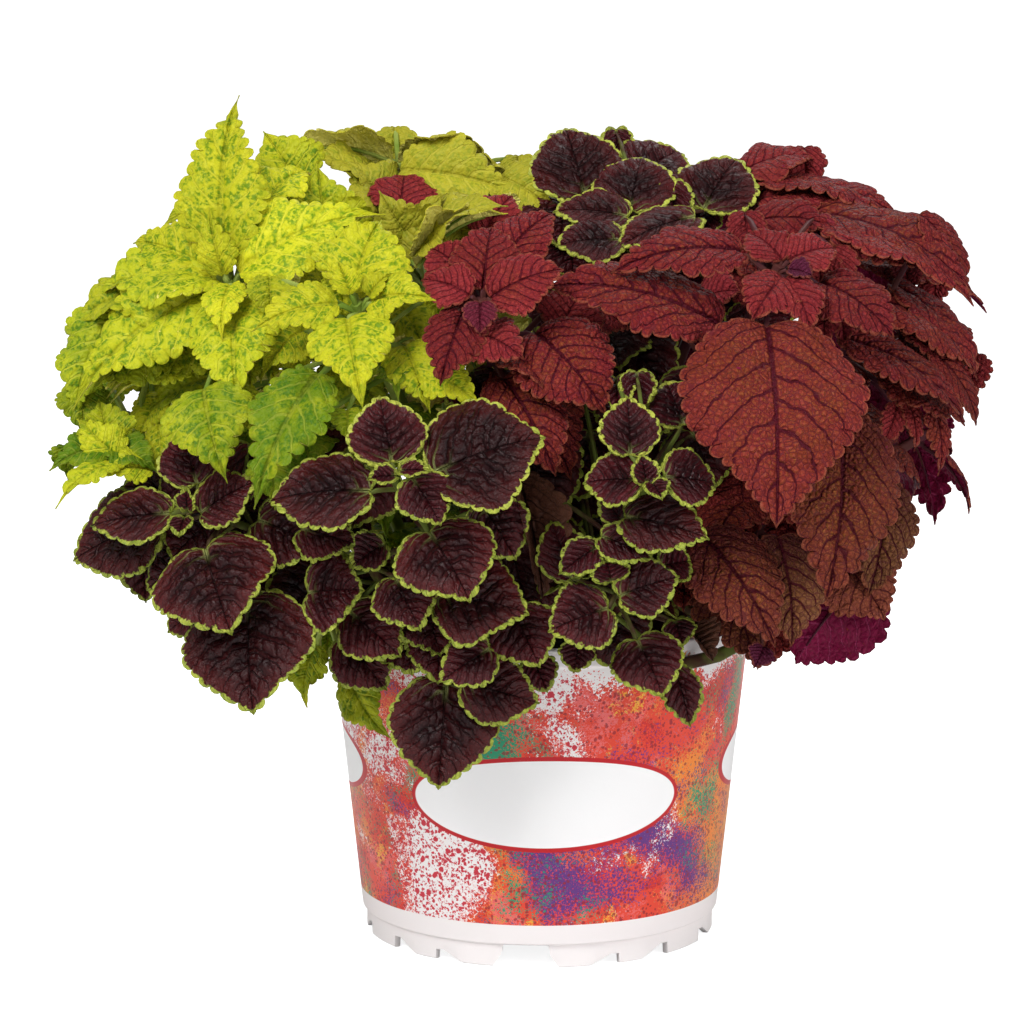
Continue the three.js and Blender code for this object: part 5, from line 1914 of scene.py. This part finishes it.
class PotLooks(bpy.types.PropertyGroup):
    """Sizes and colours of the pot and its print."""

    edge: measure("Edge", "Rounding of moulded edges", 0.35)
    print_low: measure("Print from", "Height of the print's straight lower edge", 18)
    print_high: measure("Print to", "Height of the print's ragged upper edge", 120)
    panel_middle: measure("Panel middle", "Height of the large oval panels' middle", 68.3)
    panel_width: measure("Panel width", "Width of a large oval panel", 112)
    panel_height: measure("Panel height", "Height of a large oval panel", 36)
    small_middle: measure("Small panel middle", "Height of the small oval panels' middle", 74)
    small_width: measure("Small panel width", "Width of a small oval panel", 69)
    small_height: measure("Small panel height", "Height of a small oval panel", 24)
    outline_width: measure("Outline width", "Width of the line round the panels", 1.8)
    panel_spacing: angle("Panel spacing", "Turn from one panel to the next", 90)
    panel_turn: angle("Panel turn", "Turn of the first panel from the front", 1.9)
    plastic: paint("Plastic", "Bare plastic", "F7F2F1")
    panel: paint("Panel", "Ground of the oval panels", "FFFFFF")
    coral: paint("Coral", "Main colour of the print", "E64832")
    deep_coral: paint("Deep coral", "Darker flecks in the main colour", "D22E26")
    pink: paint("Pink", "Powdery second colour of the print", "EA6E6C")
    orange: paint("Orange", "Warm clouds", "F08A34")
    amber: paint("Amber", "Flecks in the warm clouds", "F2B23C")
    violet: paint("Violet", "Violet clouds", "643480")
    teal: paint("Teal", "Green clouds", "28966E")
    deep: paint("Deep specks", "Small dark specks", "8C2030")
    crimson: paint("Crimson", "Specks on bare ground", "CC3040")
    outline: paint("Outline", "Line round the panels", "C41C24")


class MixLooks(bpy.types.PropertyGroup):
    """Sizes and colours of the potting mix."""

    crumbs: number("Crumbs", "Crumbs on a square metre", 60000)
    grit: number("Grit", "White grains on a square metre", 3500)
    crumb_size: measure("Crumb size", "Radius of a crumb", 1.5)
    damp: paint("Damp", "Wet peat", "1E1510")
    dry: paint("Dry", "Drier peat", "3E2C20")
    bark: paint("Bark", "Composted bark", "5A4030")
    grit_colour: paint("Grit", "Perlite", "D8D4CA")


class StageLooks(bpy.types.PropertyGroup):
    """Floor, light and camera."""

    floor_radius: measure("Floor", "Radius of the floor", 15000)
    floor: paint("Floor colour", "Main colour of the floor", "F4F4F4")
    floor_haze: paint("Floor haze", "Second colour of the floor", "F1F1F2")
    floor_glow: number("Floor glow", "Keeps the floor white", 0.85)
    surroundings: number("Surroundings", "Strength of the even white light", 0.3)
    light_power: number("Light power", "Power of the key light", 38, unit="POWER")
    lens: number("Lens", "Focal length in millimetres", 147.41)
    camera_distance: measure("Camera distance", "From the pot's axis", 1685)
    camera_height: measure("Camera height", "Above the floor", 449)
    camera_pitch: angle("Camera pitch", "Downward tilt", 9.34)
    camera_turn: angle("Camera turn", "Turn to the left", 0.389)


class PlantingSettings(bpy.types.PropertyGroup):
    """All settings of the planting."""

    lime: bpy.props.PointerProperty(type=LimeLooks)
    dark: bpy.props.PointerProperty(type=DarkLooks)
    red: bpy.props.PointerProperty(type=RedLooks)
    pot: bpy.props.PointerProperty(type=PotLooks)
    mix: bpy.props.PointerProperty(type=MixLooks)
    stage: bpy.props.PointerProperty(type=StageLooks)


class COLEUS_OT_effects(bpy.types.Operator):
    """Build the effects that several finishes share"""

    bl_idname = "coleus.effects"
    bl_label = "Shared effects"

    def execute(self, context):
        for build in (build_blade_place, build_leaf_veins, build_leaf_blotches, build_leaf_margin,
                      build_fine_grain, build_print_wash, build_print_specks):
            build()
        return {"FINISHED"}


class COLEUS_OT_pot(bpy.types.Operator):
    """Make the printed pot"""

    bl_idname = "coleus.pot"
    bl_label = "Printed pot"

    def execute(self, context):
        make_pot(context.scene.coleus.pot)
        return {"FINISHED"}


class COLEUS_OT_mix(bpy.types.Operator):
    """Fill in the potting mix, its crumbs and its grit"""

    bl_idname = "coleus.mix"
    bl_label = "Potting mix"

    def execute(self, context):
        make_mix(context.scene.coleus.mix)
        return {"FINISHED"}


class COLEUS_OT_lime(bpy.types.Operator):
    """Grow the lime stems"""

    bl_idname = "coleus.lime"
    bl_label = "Lime stems"

    def execute(self, context):
        looks = context.scene.coleus.lime
        stalk = stalk_skin("lime_stalk", looks)
        dress_stems("lime", "lime_leaf", [lime_blade(looks), lime_underside(looks)], stalk)
        return {"FINISHED"}


class COLEUS_OT_dark(bpy.types.Operator):
    """Grow the dark stems"""

    bl_idname = "coleus.dark"
    bl_label = "Dark stems"

    def execute(self, context):
        looks = context.scene.coleus.dark
        stalk = stalk_skin("dark_stalk", looks)
        sides = [dark_blade(looks), dark_blade(looks, "dark_underside", True)]
        dress_stems("dark", "dark_leaf", sides, stalk)
        return {"FINISHED"}


class COLEUS_OT_red(bpy.types.Operator):
    """Grow the red stems"""

    bl_idname = "coleus.red"
    bl_label = "Red stems"

    def execute(self, context):
        looks = context.scene.coleus.red
        stalk = stalk_skin("red_stalk", looks)
        dress_stems("red", "red_leaf", [red_blade(looks), red_underside(looks)], stalk)
        return {"FINISHED"}


class COLEUS_OT_stage(bpy.types.Operator):
    """Set up the floor, the lights and the camera"""

    bl_idname = "coleus.stage"
    bl_label = "Stage"

    def execute(self, context):
        make_stage(context.scene.coleus.stage)
        return {"FINISHED"}


OPERATORS = (COLEUS_OT_effects, COLEUS_OT_pot, COLEUS_OT_mix, COLEUS_OT_lime, COLEUS_OT_dark,
             COLEUS_OT_red, COLEUS_OT_stage)


class COLEUS_PT_planting(bpy.types.Panel):
    """Lists the pieces of the planting"""

    bl_label = "Coleus planting"
    bl_idname = "COLEUS_PT_planting"
    bl_space_type = "VIEW_3D"
    bl_region_type = "UI"
    bl_category = "Coleus"

    def draw(self, context):
        for operator in OPERATORS:
            self.layout.operator(operator.bl_idname)
        settings = context.scene.coleus
        for part in settings.bl_rna.properties.keys():
            if part in ("rna_type", "name"):
                continue
            box = self.layout.box()
            box.label(text=part.capitalize())
            looks = getattr(settings, part)
            for name in looks.__annotations__:
                box.prop(looks, name)


CLASSES = (LimeLooks, DarkLooks, RedLooks, PotLooks, MixLooks, StageLooks, PlantingSettings,
           *OPERATORS, COLEUS_PT_planting)


def register():
    """Adds the classes and the settings to Blender."""
    for each in CLASSES:
        bpy.utils.register_class(each)
    bpy.types.Scene.coleus = bpy.props.PointerProperty(type=PlantingSettings)


def unregister():
    """Takes them out again."""
    del bpy.types.Scene.coleus
    for each in reversed(CLASSES):
        bpy.utils.unregister_class(each)


def main():
    """Builds everything in order."""
    register()
    bpy.ops.coleus.effects()
    bpy.ops.coleus.pot()
    bpy.ops.coleus.mix()
    bpy.ops.coleus.lime()
    bpy.ops.coleus.dark()
    bpy.ops.coleus.red()
    bpy.ops.coleus.stage()


if __name__ == "__main__":
    main()
